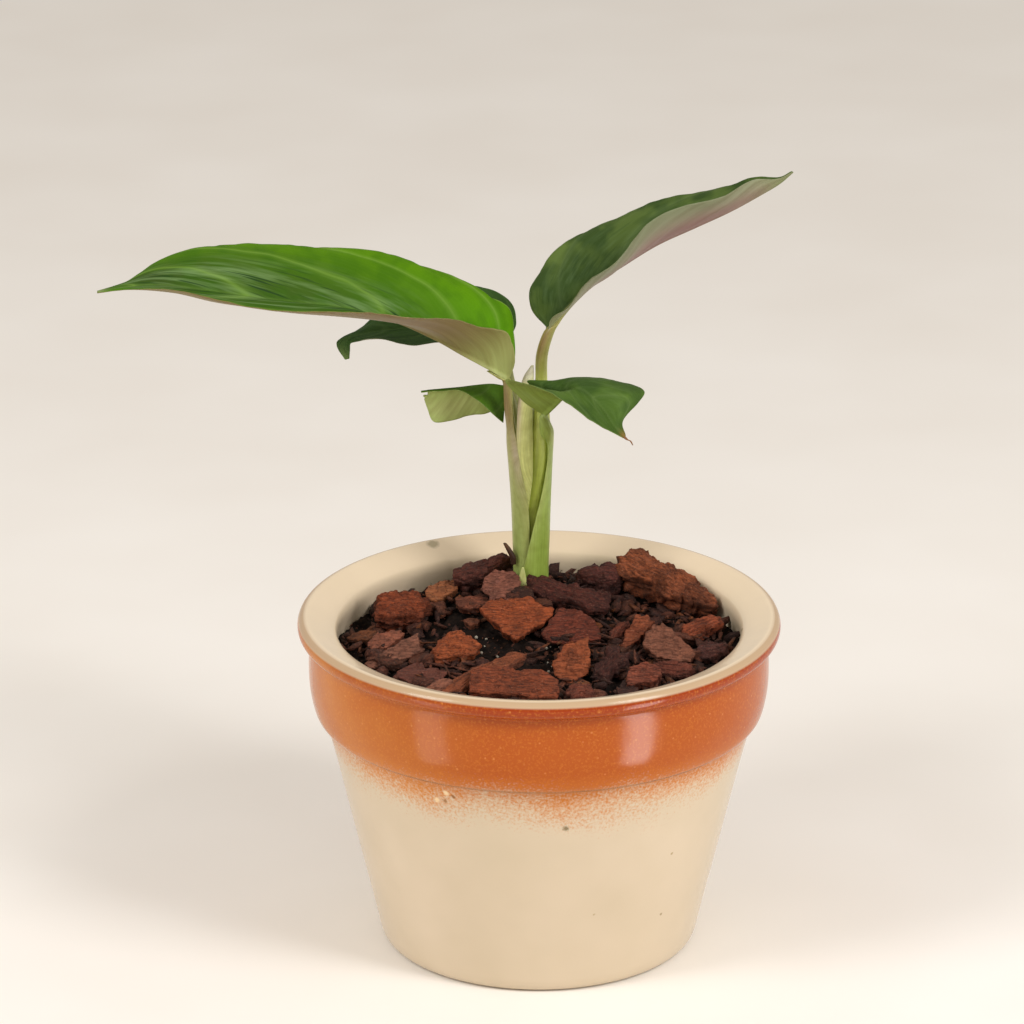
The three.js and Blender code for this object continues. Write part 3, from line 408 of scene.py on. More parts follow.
# perlite is drawn somewhat coarser than the real dust, so that it shows
perlite = {"grains": 30, "at": (-6, -4), "reach": 22, "lift": 0.1, "size": (0.4, 1.1), "stretch": (0.8, 1.2),
           "tilt": 1.0, "roughness": 0.12, "seed": 5, "pits": 0.5}


def moundTop(x, y):
    # edge height plus a bell: height * exp(-distance squared / (2 * spread squared))
    away = (x - mound["x"]) ** 2 + (y - mound["y"]) ** 2
    return mound["edge"] + mound["height"] * np.exp(-away / (2 * mound["spread"] ** 2))


def buildSoil(material):
    # rings up the pot's wall and inward over the mound; the mound's rings are raised by layered noise,
    # coarse for the lumps and fine for the crumbs
    floor = soil["wallHeights"][0]
    sides = [(innerRadius(z) - gap, z) for z in soil["wallHeights"]]
    topRadii = np.linspace(innerRadius(mound["edge"]) - gap - soil["rimGap"], soil["middle"], soil["rings"])
    angles = np.linspace(0, 2 * np.pi, soil["segments"], endpoint=False)
    unit = np.stack([np.cos(angles), np.sin(angles)], -1)
    wall = np.array([np.column_stack([radius * unit, np.full(len(unit), z)]) for radius, z in sides])
    flat = topRadii[:, None, None] * unit
    height = moundTop(flat[..., 0], flat[..., 1])
    at = np.concatenate([flat, height[..., None]], -1)
    coarse = soil["lump"] * layeredNoise(at, soil["lumpCell"], soil["lumpSeed"])
    fine = soil["crumb"] * layeredNoise(at, soil["crumbCell"], soil["crumbSeed"], octaves=2)
    at[..., 2] += coarse + fine - soil["sink"]
    rings = np.concatenate([wall, at])
    points = np.vstack([rings.reshape(-1, 3), [[0, 0, floor]], [at[-1].mean(axis=0)]])
    makePiece("potting_soil", ["soil"], points, tubeFaces(len(rings), soil["segments"]), [material])


def soilMaterial():
    # peat with bark dust: nearly black and matt, with brown crumbs
    material = startMaterial("peat potting soil, damp")
    place = addNode(material, "TexCoord").outputs["Object"]
    crumb = addNode(material, "TexNoise", {}, {"Vector": place, "Scale": 1 / (soil["grain"] * mm),
                                               "Detail": 5.0})
    colour = addNode(material, "ValToRGB", {}, {"Fac": crumb.outputs["Fac"]},
                     [(0.35, "#0C0705"), (0.8, "#3E291C"), (0.6, "#1C110B")]).outputs[0]
    bump = addNode(material, "Bump", {}, {"Strength": 0.8, "Distance": 0.5 * mm,
                                          "Height": crumb.outputs["Fac"]}).outputs[0]
    return closeMaterial(material, {"Roughness": 0.95, "IOR": 1.4, "Specular IOR Level": 0.25}, colour, bump)


# Small broken pieces repeated many times: an icosahedron of 20 faces, stretched, bent and turned

golden = (1 + 5 ** 0.5) / 2
grainCorners = np.array([(-1, golden, 0), (1, golden, 0), (-1, -golden, 0), (1, -golden, 0), (0, -1, golden),
                         (0, 1, golden), (0, -1, -golden), (0, 1, -golden), (golden, 0, -1), (golden, 0, 1),
                         (-golden, 0, -1), (-golden, 0, 1)]) / (1 + golden ** 2) ** 0.5
grainFaces = np.array([(0, 11, 5), (0, 5, 1), (0, 1, 7), (0, 7, 10), (0, 10, 11), (1, 5, 9), (5, 11, 4),
                       (11, 10, 2), (10, 7, 6), (7, 1, 8), (3, 9, 4), (3, 4, 2), (3, 2, 6), (3, 6, 8),
                       (3, 8, 9), (4, 9, 5), (2, 4, 11), (6, 2, 10), (8, 6, 7), (9, 8, 1)])


def turnMatrices(turn, tiltX, tiltY):
    # rotation about Y, then X, then Z, for arrays of angles
    c, s = np.cos([turn, tiltX, tiltY]), np.sin([turn, tiltX, tiltY])
    zero, one = np.zeros_like(turn), np.ones_like(turn)
    aboutZ = np.moveaxis(np.array([[c[0], -s[0], zero], [s[0], c[0], zero], [zero, zero, one]]), 2, 0)
    aboutX = np.moveaxis(np.array([[one, zero, zero], [zero, c[1], -s[1]], [zero, s[1], c[1]]]), 2, 0)
    aboutY = np.moveaxis(np.array([[c[2], zero, s[2]], [zero, one, zero], [-s[2], zero, c[2]]]), 2, 0)
    return aboutZ @ aboutX @ aboutY


def scatterGrains(centres, sizes, tilt, roughness, draw):
    # corners moved at random by the roughness, scaled by half the size, turned and set at the centres
    count = len(centres)
    shape = (count,) + grainCorners.shape
    corners = grainCorners * (1 + roughness * draw.uniform(-1, 1, shape)) * sizes[:, None] / 2
    turns = turnMatrices(draw.uniform(0, 2 * np.pi, count), tilt * draw.uniform(-1, 1, count),
                         tilt * draw.uniform(-1, 1, count))
    points = corners @ np.swapaxes(turns, 1, 2) + centres[:, None]
    faces = grainFaces + len(grainCorners) * np.arange(count)[:, None, None]
    return points.reshape(-1, 3), faces.reshape(-1, 3), corners.reshape(-1, 3)


def perliteMaterial():
    # expanded volcanic glass: chalky off-white, pitted and fully matt
    material = startMaterial("expanded perlite grains")
    place = addNode(material, "TexCoord").outputs["Object"]
    pits = addNode(material, "TexNoise", {}, {"Vector": place, "Scale": 1 / (perlite["pits"] * mm),
                                              "Detail": 3.0})
    colour = addNode(material, "ValToRGB", {}, {"Fac": pits.outputs["Fac"]},
                     [(0.3, "#7E7364"), (0.7, "#BDB3A2")]).outputs[0]
    bump = addNode(material, "Bump", {}, {"Strength": 0.5, "Distance": 0.2 * mm,
                                          "Height": pits.outputs["Fac"]}).outputs[0]
    return closeMaterial(material, {"Roughness": 0.9, "IOR": 1.5}, colour, bump)


def buildPerlite(material):
    # grains strewn evenly over a circle on the mound: radius is the reach times the root of a random share
    draw = np.random.default_rng(perlite["seed"])
    count = perlite["grains"]
    angle = draw.uniform(0, 2 * np.pi, count)
    radius = perlite["reach"] * np.sqrt(draw.uniform(0, 1, count))
    x, y = radius * np.cos(angle) + perlite["at"][0], radius * np.sin(angle) + perlite["at"][1]
    centres = np.stack([x, y, moundTop(x, y) + perlite["lift"]], -1)
    sizes = draw.uniform(*perlite["size"], (count, 1)) * draw.uniform(*perlite["stretch"], (count, 3))
    points, faces, _ = scatterGrains(centres, sizes, perlite["tilt"], perlite["roughness"], draw)
    makePiece("perlite_grains", [], points, [faces], [material])


buildSoil(soilMaterial())
buildPerlite(perliteMaterial())
print("soil filled in")


# Bark chips. Each has a place, a lift above the mound, a size, a turn about Z, tilts about X and Y, a colour
# family, a kind of break, its own tone, and its outline's corners: shares of half the length and width,
# clockwise seen from above.

barkChips = [
    ("flat_orange", (-6.7, 7), 2.9, (22, 18, 4.4), 0, (22, 3), "orange", "plate", "#8C4826",
     [(-1, 0.45), (-0.7, 0.85), (-0.2, 0.9), (0.35, 1), (0.55, 0.75), (1, 0.45), (0.95, 0.15),
      (0.7, -0.25), (0.5, -0.4), (0.2, -0.85), (-0.05, -1), (-0.35, -0.7), (-0.5, -0.4), (-0.8, 0.05)]),
    ("small_orange", (-20, 20), 2, (8.5, 7, 2.6), 4, (8, 0), "red", "plate", "#784634",
     [(-1, 0.7), (-0.35, 1), (0.85, 0.85), (1, -0.1), (0.6, -0.85), (-0.25, -1), (-0.9, -0.65)]),
    ("tiny_orange", (-19.5, 11), 1.2, (5, 4.5, 2.8), 0, (5, 0), "orange", "plate", "#744632",
     [(-1, 0.3), (-0.1, 1), (1, 0.5), (0.8, -0.7), (-0.3, -1)]),
    ("purple_disc", (-10.7, 24.5), 3, (11.5, 11.5, 3), 0, (30, 0), "purple", "plate", "#744A3C",
     [(-1, -0.3), (-0.9, 0.3), (-0.45, 0.8), (0.1, 1), (0.65, 0.7), (1, 0.15), (1, -0.55), (0.3, -1),
      (-0.65, -1)]),
    ("back_left_lump", (-16, 35), 3.8, (18, 10, 8), 12, (10, -8), "dark", "lump", "#62342A",
     [(-1, 0.3), (-0.65, 0.5), (-0.1, 0.8), (0.4, 1), (0.9, 0.9), (1, 0.4), (0.45, -0.2), (0.1, -0.5),
      (-0.3, -1), (-0.8, -0.7), (-1, -0.2)]),
    ("fibrous_left", (-39.8, 17.5), 4.4, (17, 15, 9), 4, (14, 6), "red", "spongy", "#804226",
     [(-1, -0.5), (-0.9, 0.35), (-0.6, 0.7), (-0.35, 1), (-0.2, 0.65), (0.3, 0.9), (0.65, 0.8), (1, 0.15),
      (0.75, -0.25), (0.55, -0.7), (-0.2, -1), (-1, -0.9)]),
    ("light_orange", (-28.5, 30.5), 3, (9.5, 10, 4), 0, (24, 0), "orange", "plate", "#865638",
     [(-0.9, 0.5), (0.8, 1), (1, 0.2), (0.35, -0.4), (-0.4, -1), (-1, -0.2)]),
    ("pinkish_left", (-44.5, 1), 1.8, (11, 10, 3), 0, (14, 0), "purple", "plate", "#84523E",
     [(-1, -0.3), (-0.45, 0.7), (0.8, 1), (1, 0.55), (0.3, -0.55), (-0.7, -1)]),
    ("grey_long", (-42, -9.5), 2.8, (17.5, 14, 3.6), 0, (26, -3), "grey", "plate", "#785040",
     [(-1, -0.8), (-0.65, -0.4), (0.05, 0.3), (0.8, 0.85), (1, -0.1), (0.35, -0.55), (-0.5, -1),
      (-0.85, -1)]),
    ("round_orange", (-24, -9), 3.4, (13.5, 12, 6), 0, (20, 0), "orange", "lump", "#8E4C2A",
     [(-1, -0.3), (-0.75, 0.35), (-0.4, 0.95), (0.2, 1), (0.8, 0.55), (1, 0.05), (0.7, -0.45),
      (0.1, -0.75), (-0.4, -1), (-0.85, -0.9)]),
    ("purple_front", (-34, -25), 1.6, (16, 14, 3), 0, (12, 0), "purple", "plate", "#62382C",
     [(-1, -0.1), (-0.2, 0.8), (0.05, 1), (0.15, 0.45), (0.95, 0.25), (0.8, -0.4), (0.3, -1),
      (-0.6, -0.5)]),
    ("splinter", (-16, -29.5), 4, (35, 6.5, 5), 43, (10, -6), "orange", "fibrous", "#7E482E",
     [(-1, 0.2), (-0.75, 0.7), (-0.3, 0.9), (0.3, 0.7), (0.85, 1), (1, 0.1), (0.8, -0.8), (0.3, -1),
      (-0.2, -0.7), (-0.7, -1), (-0.95, -0.6)]),
    ("front_red", (-7, -37), 3, (25.5, 14, 6.5), -2, (16, 2), "red", "plate", "#80442A",
     [(-1, 0.65), (-0.7, 1), (-0.2, 0.9), (0.2, 0.7), (0.65, 0.8), (0.95, 0.3), (1, -0.4), (0.95, -1),
      (-1, -0.8)]),
    ("upright_brown", (9, -18), 3.6, (11.4, 14.5, 3.6), 0, (42, 0), "orange", "plate", "#84482A",
     [(-0.35, 0.7), (0.85, 1), (1, 0.3), (0.95, -0.6), (0, -1), (-0.8, -0.75), (-1, -0.05),
      (-0.55, 0.2)]),
    ("middle_red", (9.2, 4.5), 3, (16.7, 15.5, 3.6), 0, (24, 0), "red", "plate", "#6E3626",
     [(-1, -0.4), (-0.65, 0.35), (-0.35, 0.95), (0.1, 0.95), (0.6, 0.5), (1, 0), (1, -0.7), (0.3, -0.85),
      (-0.25, -1), (-0.75, -0.8)]),
    ("wrinkled_dark", (8, 20.5), 3, (28, 11, 5), -26, (18, 8), "dark", "fibrous", "#54281E",
     [(-1, 0.2), (-0.7, 0.8), (-0.2, 0.6), (0.1, 1), (0.5, 0.7), (0.9, 0.8), (1, -0.1), (0.7, -0.9),
      (0.2, -0.6), (-0.2, -1), (-0.7, -0.6)]),
    ("back_right_lump", (18, 36.5), 3.4, (15, 10, 9), 0, (12, 0), "dark", "lump", "#582C24",
     [(-1, -0.1), (-0.7, 0.6), (-0.2, 0.9), (0.45, 1), (0.85, 0.75), (1, -0.2), (0.35, -1),
      (-0.45, -0.6)]),
    ("fibrous_right", (38, 32.5), 6.6, (37, 14, 11), -40, (12, 12), "red", "spongy", "#885034",
     [(-1, -0.2), (-0.95, 0.5), (-0.7, 0.85), (-0.4, 0.6), (-0.1, 0.9), (0.25, 1), (0.5, 0.6), (0.7, 0.5),
      (1, 0.15), (0.95, -0.1), (0.65, -0.35), (0.25, -0.8), (-0.2, -0.7), (-0.6, -0.9), (-0.9, -0.7)]),
    ("long_red", (47, 9.5), 2.8, (15, 7, 5.6), 28, (20, -8), "red", "fibrous", "#8A4A30",
     [(-1, -0.3), (-0.6, 0.5), (0.1, 0.7), (0.7, 1), (1, 0.5), (0.8, -0.4), (0.2, -0.8), (-0.5, -1)]),
    ("smooth_grey", (37.5, -8), 4.4, (15, 14.5, 4), 0, (30, 0), "grey", "plate", "#744A38",
     [(-1, -0.25), (-0.85, 0.45), (-0.45, 1), (0.1, 0.8), (0.45, 0.15), (1, -0.5), (0.85, -1),
      (0.2, -0.9), (-0.45, -0.65)]),
    ("angular_orange", (28.5, 1), 3.8, (10, 12.5, 5), 0, (34, 0), "orange", "plate", "#80462C",
     [(-1, -0.8), (-0.55, 0.15), (-0.1, 0.9), (0.55, 1), (1, 0.6), (0.5, 0), (0.1, -0.45), (-0.8, -1)]),
    ("front_small", (30, -29), 3, (10, 9, 5), 0, (26, 0), "red", "plate", "#7C4636",
     [(-0.9, 0.6), (0.1, 1), (0.7, 0.5), (1, -0.3), (0.4, -0.8), (-0.4, -0.9), (-1, -1)]),
    ("front_slab", (38.5, -22.5), 2.6, (12, 7, 3.4), -12, (18, 0), "red", "fibrous", "#64362A",
     [(-1, 0.4), (-0.3, 0.9), (0.7, 0.7), (1, -0.1), (0.3, -0.8), (-0.6, -0.7)]),
    ("right_dark", (49.5, -7), 2, (11, 9, 4), 20, (10, 0), "dark", "lump", "#54302A",
     [(-1, -0.2), (-0.5, 0.8), (0.3, 1), (1, 0.3), (0.8, -0.6), (0, -1), (-0.7, -0.8)]),
    ("shredded", (20.5, -20), 3.2, (17, 8, 5), 62, (16, -12), "dark", "fibrous", "#46221A",
     [(-1, 0.3), (-0.5, 0.7), (0.1, 0.6), (0.5, 1), (1, 0.6), (0.7, 0), (0.9, -0.5), (0.3, -1),
      (-0.3, -0.7), (-0.9, -0.8)]),
    ("front_corner", (11.5, -41), 2.4, (9, 8, 4), 10, (10, 0), "red", "lump", "#6A3A2C",
     [(-1, 0.2), (-0.3, 1), (0.6, 0.8), (1, -0.1), (0.5, -1), (-0.6, -0.8)]),
    ("front_splinter", (-28, -37), 2.8, (13, 5, 4.5), 36, (14, 0), "grey", "fibrous", "#7C503E",
     [(-1, 0.5), (-0.2, 0.9), (0.6, 0.7), (1, 0), (0.5, -0.8), (-0.4, -1), (-0.9, -0.4)]),
    ("right_sliver", (23.5, 5), 3, (12, 4.5, 3), 60, (16, -10), "red", "fibrous", "#6E3A2A",
     [(-1, 0), (-0.4, 0.8), (0.5, 1), (1, 0.2), (0.6, -0.7), (-0.3, -1)]),
]
# a kind's profile has shares of the reach and of the height, from the underside to the top; relief and layer
# steps are in mm, and the relief's cell is in mm along, across and through the chip
barkKinds = {
    "plate": {"profile": [(0.25, -0.5), (0.6, -0.46), (0.85, -0.25), (0.95, 0.05), (0.99, 0.3), (1, 0.42),
                          (0.96, 0.49), (0.6, 0.5), (0.2, 0.5)],
              "relief": 0.3, "cell": (4.5, 3.0, 2.0), "jag": 0.6, "steps": 0.24},
    "lump": {"profile": [(0.3, -0.5), (0.75, -0.4), (0.95, -0.1), (1, 0.15), (0.94, 0.36), (0.74, 0.47),
                         (0.25, 0.5)],
             "relief": 0.85, "cell": (3.4, 2.8, 2.4), "jag": 0.6, "steps": 0.24},
    "fibrous": {"profile": [(0.3, -0.5), (0.75, -0.38), (0.96, -0.1), (1, 0.15), (0.9, 0.36), (0.62, 0.48),
                            (0.2, 0.5)],
                "relief": 0.9, "cell": (6.5, 1.6, 1.6), "jag": 0.7, "steps": 0.2},
    "spongy": {"profile": [(0.3, -0.5), (0.75, -0.38), (0.96, -0.1), (1, 0.15), (0.9, 0.36), (0.62, 0.48),
                           (0.2, 0.5)],
               "relief": 1.3, "cell": (3.4, 1.9, 1.9), "jag": 0.9, "steps": 0.1},
}
chipGrid = {"rows": 44, "columns": 150, "firstSeed": 40, "patternStep": 17.0, "jagCell": 1.6,
            # layers: cell in mm, how sharp their steps are; flanks get painted shade below a share of the
            # height
            "layerCell": (3.0, 3.0, 1.0), "layerSharpness": 12, "layerSeed": 5, "slimBelow": 8,
            "flankTop": 0.42, "flankFade": 0.2, "flankPower": 6}
barkTones = {"patchCell": 4.5, "strength": 1.33, "patches": 0.45, "flankShade": 0.5, "limits": (0.35, 1.8)}
# small chips: least reach of the corners and its spread, sizes in mm, width as a share of the length, degrees
mulch = {"chips": 44, "corners": 5, "cornerTurn": 0.5, "cornerReach": (0.82, 0.26), "seed": 7,
         "firstSeed": 900, "patternStep": 11.0, "rows": 14, "columns": 36, "reach": 53, "length": (7, 12),
         "widthShare": (0.5, 0.8), "height": (2.6, 4.2), "tiltSpread": 30, "mat": 1.6, "sink": 0.2,
         "kinds": ("plate", "fibrous", "plate", "lump"), "bareMargin": 3}
# crumbs: how many, sizes and lifts in mm, width and height as shares of the length, tilt in radians
crumbs = {"coarse": 1100, "fine": 900, "seed": 12, "reach": 57.4, "length": (1.8, 7.5), "lengthPower": 1.6,
          "fineLength": (0.6, 1.6), "keptInBare": 0.16, "lowMargin": 2, "lowLift": 0.1, "lift": 1.1,
          "width": (0.3, 0.75), "height": (0.15, 0.4), "tilt": 0.8, "roughness": 0.35, "tone": (0.75, 1.5)}
# slivers: how many round each place, spread, lift and sizes in mm, tilt in radians
slivers = {"places": [(22, -4), (-20, -24)], "counts": (110, 50), "spread": (13, 12), "bareMargin": -2,
           "lift": (0.8, 3.4), "length": (4, 12), "width": (0.7, 1.8), "flatness": 0.7, "tilt": 0.55,
           "roughness": 0.3, "tone": (0.9, 1.7)}
# ellipses where the soil lies bare: middle and half widths
bareWindows = [(-14, 0, 15, 13), (1, -19, 11, 9)]
crumbTones = ["#3A2018", "#44261C", "#54301F", "#5E3628", "#6A3E2C", "#764A38", "#82502F", "#4A2A22"]


def inWindow(x, y, margin):
    # inside one of the ellipses where the soil lies bare
    return sum(((x - a) / (reachX + margin)) ** 2 + ((y - b) / (reachY + margin)) ** 2 < 1
               for a, b, reachX, reachY in bareWindows) > 0


def drawnOutline(corners, seed):
    # corners at even angles round the centre, each moved by the seeded draw
    draw = seededDraw(seed)
    outline = []
    for k in range(corners):
        angle = 2 * math.pi * (k + mulch["cornerTurn"] * draw()) / corners
        reach = mulch["cornerReach"][0] + mulch["cornerReach"][1] * draw()
        outline.append((reach * math.cos(angle), reach * math.sin(angle)))
    return outline


def chipSurface(size, outline, kind, grid, seed):
    # rings from the underside to the top: the outline, walked at an even pace, times the profile's reach and
    # rise. Layered noise makes its edge jagged, steps its face in layers and roughens it along the grain.
    corners = np.array(outline + outline[:1]) / 2 * np.array(size[:2])
    lengths = np.concatenate([[0], np.cumsum(np.linalg.norm(np.diff(corners, axis=0), axis=1))])
    walked = np.linspace(0, lengths[-1], grid["columns"], endpoint=False)
    edge = np.stack([np.interp(walked, lengths, corners[:, k]) for k in (0, 1)], -1)
    slim = min(1, size[1] / chipGrid["slimBelow"])
    jag = layeredNoise(np.insert(edge, 2, seed, axis=1) / chipGrid["jagCell"], 1, seed)
    jag *= kind["jag"] * slim
    edge = edge * (1 + jag / np.linalg.norm(edge, axis=1))[:, None]
    profile = np.array(kind["profile"])
    place = np.linspace(0, len(profile) - 1, grid["rows"])
    reach, rise = (np.interp(place, np.arange(len(profile)), profile[:, k]) for k in (0, 1))
    local = np.empty((grid["rows"], grid["columns"], 3))
    local[..., :2] = reach[:, None, None] * edge
    local[..., 2] = rise[:, None] * size[2]
    outward = local / np.array(size) ** 2
    outward /= np.maximum(np.linalg.norm(outward, axis=-1, keepdims=True), 1e-6)
    layerSeed = seed + chipGrid["layerSeed"]
    layers = layeredNoise(local / np.array(chipGrid["layerCell"]), 1, layerSeed, octaves=2)
    bulge = kind["relief"] * layeredNoise(local / np.array(kind["cell"]), 1, seed, octaves=4)
    bulge += kind["steps"] * np.clip(layers * chipGrid["layerSharpness"], -1, 1)
    local = local + outward * (bulge * slim)[..., None]
    ends = np.stack([local[0].mean(axis=0), local[-1].mean(axis=0)])
    # painted shade: the flank darkens towards the chip's underside
    low = np.clip((chipGrid["flankTop"] - rise) / chipGrid["flankFade"], 0, 1)
    flankShade = np.repeat(np.clip(reach, 0, 1) ** chipGrid["flankPower"] * low, grid["columns"])
    return np.vstack([local.reshape(-1, 3), ends]), np.concatenate([flankShade, [0, 0]])


def placeChip(local, at, z, turn, tilt):
    # tilted about Y and X and turned about Z round its own middle, then set at its place
    turns = turnMatrices(*np.radians([[turn], [tilt[0]], [tilt[1]]]))[0]
    return local @ turns.T + np.array([at[0], at[1], z])


def tonedPoints(local, flankShade, tone, seed):
    # the chip's own tone, lighter and darker in patches, with painted shade low on its flank
    patch = layeredNoise(local, barkTones["patchCell"], seed)
    strength = barkTones["strength"] + barkTones["patches"] * patch - barkTones["flankShade"] * flankShade
    colour = np.array(linear(tone)) * np.clip(strength, *barkTones["limits"])[:, None]
    colour[:, 3] = 1
    return colour


def drawnTones(count, spread, draw):
    # one of the crumbs' tones for each grain, made lighter or darker at random
    tones = np.array([linear(tone) for tone in crumbTones])[draw.integers(0, len(crumbTones), count)]
    tones = np.repeat(tones * draw.uniform(*spread, (count, 1)), len(grainCorners), axis=0)
    tones[:, 3] = 1
    return tones


# Broken pine bark: matt, with layers and fibres along the chip and paler dust on its broken edges

barkLooks = {
    "orange": {"name": "pine bark, inner orange layer", "dark": "#B4947E", "light": "#FFF0DC", "fibre": 0.35,
               "roughness": 0.72, "relief": 0.35, "cracks": 0.5},
    "red": {"name": "pine bark, red fibrous layer", "dark": "#8A7266", "light": "#FFE8D2", "fibre": 0.6,
            "roughness": 0.8, "relief": 0.5, "cracks": 0.6},
    "purple": {"name": "pine bark, smooth purple scale", "dark": "#B7A09C", "light": "#FFEFE6", "fibre": 0.2,
               "roughness": 0.62, "relief": 0.22, "cracks": 0.35},
    "grey": {"name": "pine bark, weathered grey face", "dark": "#A89890", "light": "#FFF0E6", "fibre": 0.3,
             "roughness": 0.7, "relief": 0.25, "cracks": 0.4},
    "dark": {"name": "pine bark, damp and dark", "dark": "#6E5E58", "light": "#F2D8C4", "fibre": 0.5,
             "roughness": 0.68, "relief": 0.55, "cracks": 0.6},
}

# stretch: along, across and through the chip; fibres, crumble, scales and grit: cells to the mm
barkGrain = {"stretch": (0.22, 1.5, 1.5), "fibres": 1.6, "crumble": 1.1, "scales": 0.7, "grit": 1 / 0.45,
             "crackDepth": 0.3, "crackTone": "#2A1510", "gritTone": "#B98E74"}


def barkMaterial(look):
    # the chip's tone times a blend of two noises, one drawn out along its fibres, with dark cracks between
    # the scales, where a slow noise crosses its middle, and pale gritty dust
    material = startMaterial(look["name"])
    chip = addNode(material, "Attribute", {"attribute_name": "chip"}).outputs["Vector"]
    tint = addNode(material, "Attribute", {"attribute_name": "tint"}).outputs["Color"]
    along = addNode(material, "VectorMath", {"operation": "MULTIPLY"},
                    {0: chip, 1: barkGrain["stretch"]}).outputs[0]
    fibres = addNode(material, "TexNoise", {}, {"Vector": along, "Scale": barkGrain["fibres"], "Detail": 4.0,
                                                "Roughness": 0.65}).outputs["Fac"]
    crumble = addNode(material, "TexNoise", {}, {"Vector": chip, "Scale": barkGrain["crumble"],
                                                 "Detail": 6.0, "Roughness": 0.7}).outputs["Fac"]
    blend = addNode(material, "MixRGB", {}, {"Fac": look["fibre"], "Color1": crumble,
                                             "Color2": fibres}).outputs[0]
    tone = addNode(material, "ValToRGB", {}, {"Fac": blend},
                   [(0.36, look["dark"]), (0.66, look["light"])]).outputs[0]
    colour = addNode(material, "MixRGB", {"blend_type": "MULTIPLY"}, {"Fac": 0.9, "Color1": tint,
                                                                      "Color2": tone}).outputs[0]
    scales = addNode(material, "TexNoise", {}, {"Vector": along, "Scale": barkGrain["scales"], "Detail": 5.0,
                                                "Roughness": 0.6, "Distortion": 0.6}).outputs["Fac"]
    middle = addNode(material, "Math", {"operation": "SUBTRACT"}, {0: scales, 1: 0.5}).outputs[0]
    away = addNode(material, "Math", {"operation": "ABSOLUTE"}, {0: middle}).outputs[0]
    crack = addNode(material, "MapRange", {}, {"Value": away, "From Min": 0.004, "From Max": 0.03,
                                               "To Min": 1.0, "To Max": 0.0}).outputs[0]
    crackShare = addNode(material, "Math", {"operation": "MULTIPLY"},
                         {0: crack, 1: look["cracks"]}).outputs[0]
    grit = addNode(material, "TexNoise", {}, {"Vector": chip, "Scale": barkGrain["grit"],
                                              "Detail": 2.0}).outputs["Fac"]
    gritShare = addNode(material, "MapRange", {}, {"Value": grit, "From Min": 0.6, "From Max": 0.72,
                                                   "To Min": 0.0, "To Max": 0.22}).outputs[0]
    for share, tone in ((crackShare, "crackTone"), (gritShare, "gritTone")):
        colour = addNode(material, "MixRGB", {}, {"Fac": share, "Color1": colour,
                                                  "Color2": linear(barkGrain[tone])}).outputs[0]
    bump = addNode(material, "Bump", {}, {"Strength": 1.0, "Distance": look["relief"] * mm,
                                          "Height": blend}).outputs[0]
    bump = addNode(material, "Bump", {"invert": True}, {"Strength": 0.7, "Height": crack, "Normal": bump,
                                                        "Distance": barkGrain["crackDepth"] * mm}).outputs[0]
    skin = {"Roughness": look["roughness"], "IOR": 1.45, "Specular IOR Level": 0.35}
    return closeMaterial(material, skin, colour, bump)


def buildBark(materials):
    # each chip of the list on the mound; its pattern is read at a place of its own
    faces = tubeFaces(chipGrid["rows"], chipGrid["columns"])
    for k, (name, at, lift, size, turn, tilt, family, kind, tone, outline) in enumerate(barkChips):
        seed = chipGrid["firstSeed"] + k
        local, flankShade = chipSurface(size, outline[::-1], barkKinds[kind], chipGrid, seed)
        points = placeChip(local, at, moundTop(*at) + lift, turn, tilt)
        values = {"chip": local + chipGrid["patternStep"] * k, "tint": tonedPoints(local, flankShade, tone, seed)}
        makePiece("chip_" + name, ["bark_" + name], points, faces, [materials[family]],
                  values)


def mulchChips():
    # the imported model's small chips, from the same draws: points, faces, pattern places and tints
    draw = seededDraw(mulch["seed"])
    points, faces, places, tints, start = [], [], [], [], 0
    chipFaces = tubeFaces(mulch["rows"], mulch["columns"])
    for k in range(mulch["chips"]):
        radius = mulch["reach"] * math.sqrt(draw())
        angle = 2 * math.pi * draw()
        x, y = radius * math.cos(angle), radius * math.sin(angle)
        length, share, height = (low + (high - low) * draw()
                                 for low, high in (mulch["length"], mulch["widthShare"], mulch["height"]))
        turn = 360 * draw()
        tilt = (mulch["tiltSpread"] * (draw() - 0.5), mulch["tiltSpread"] * (draw() - 0.5))
        if inWindow(x, y, mulch["bareMargin"]):
            continue
        seed = mulch["firstSeed"] + k
        kind = barkKinds[mulch["kinds"][k % len(mulch["kinds"])]]
        outline = drawnOutline(mulch["corners"], seed)
        local, flankShade = chipSurface((length, length * share, height), outline, kind, mulch, seed)
        z = moundTop(x, y) + gap + mulch["mat"] * (1 - mulch["sink"])
        points.append(placeChip(local, (x, y), z, turn, tilt))
        faces += [faceBlock + start for faceBlock in chipFaces]
        places.append(local + mulch["patternStep"] * k)
        tints.append(tonedPoints(local, flankShade, crumbTones[k % len(crumbTones)], seed))
        start += len(local)
    return np.vstack(points), faces, np.vstack(places), np.vstack(tints)


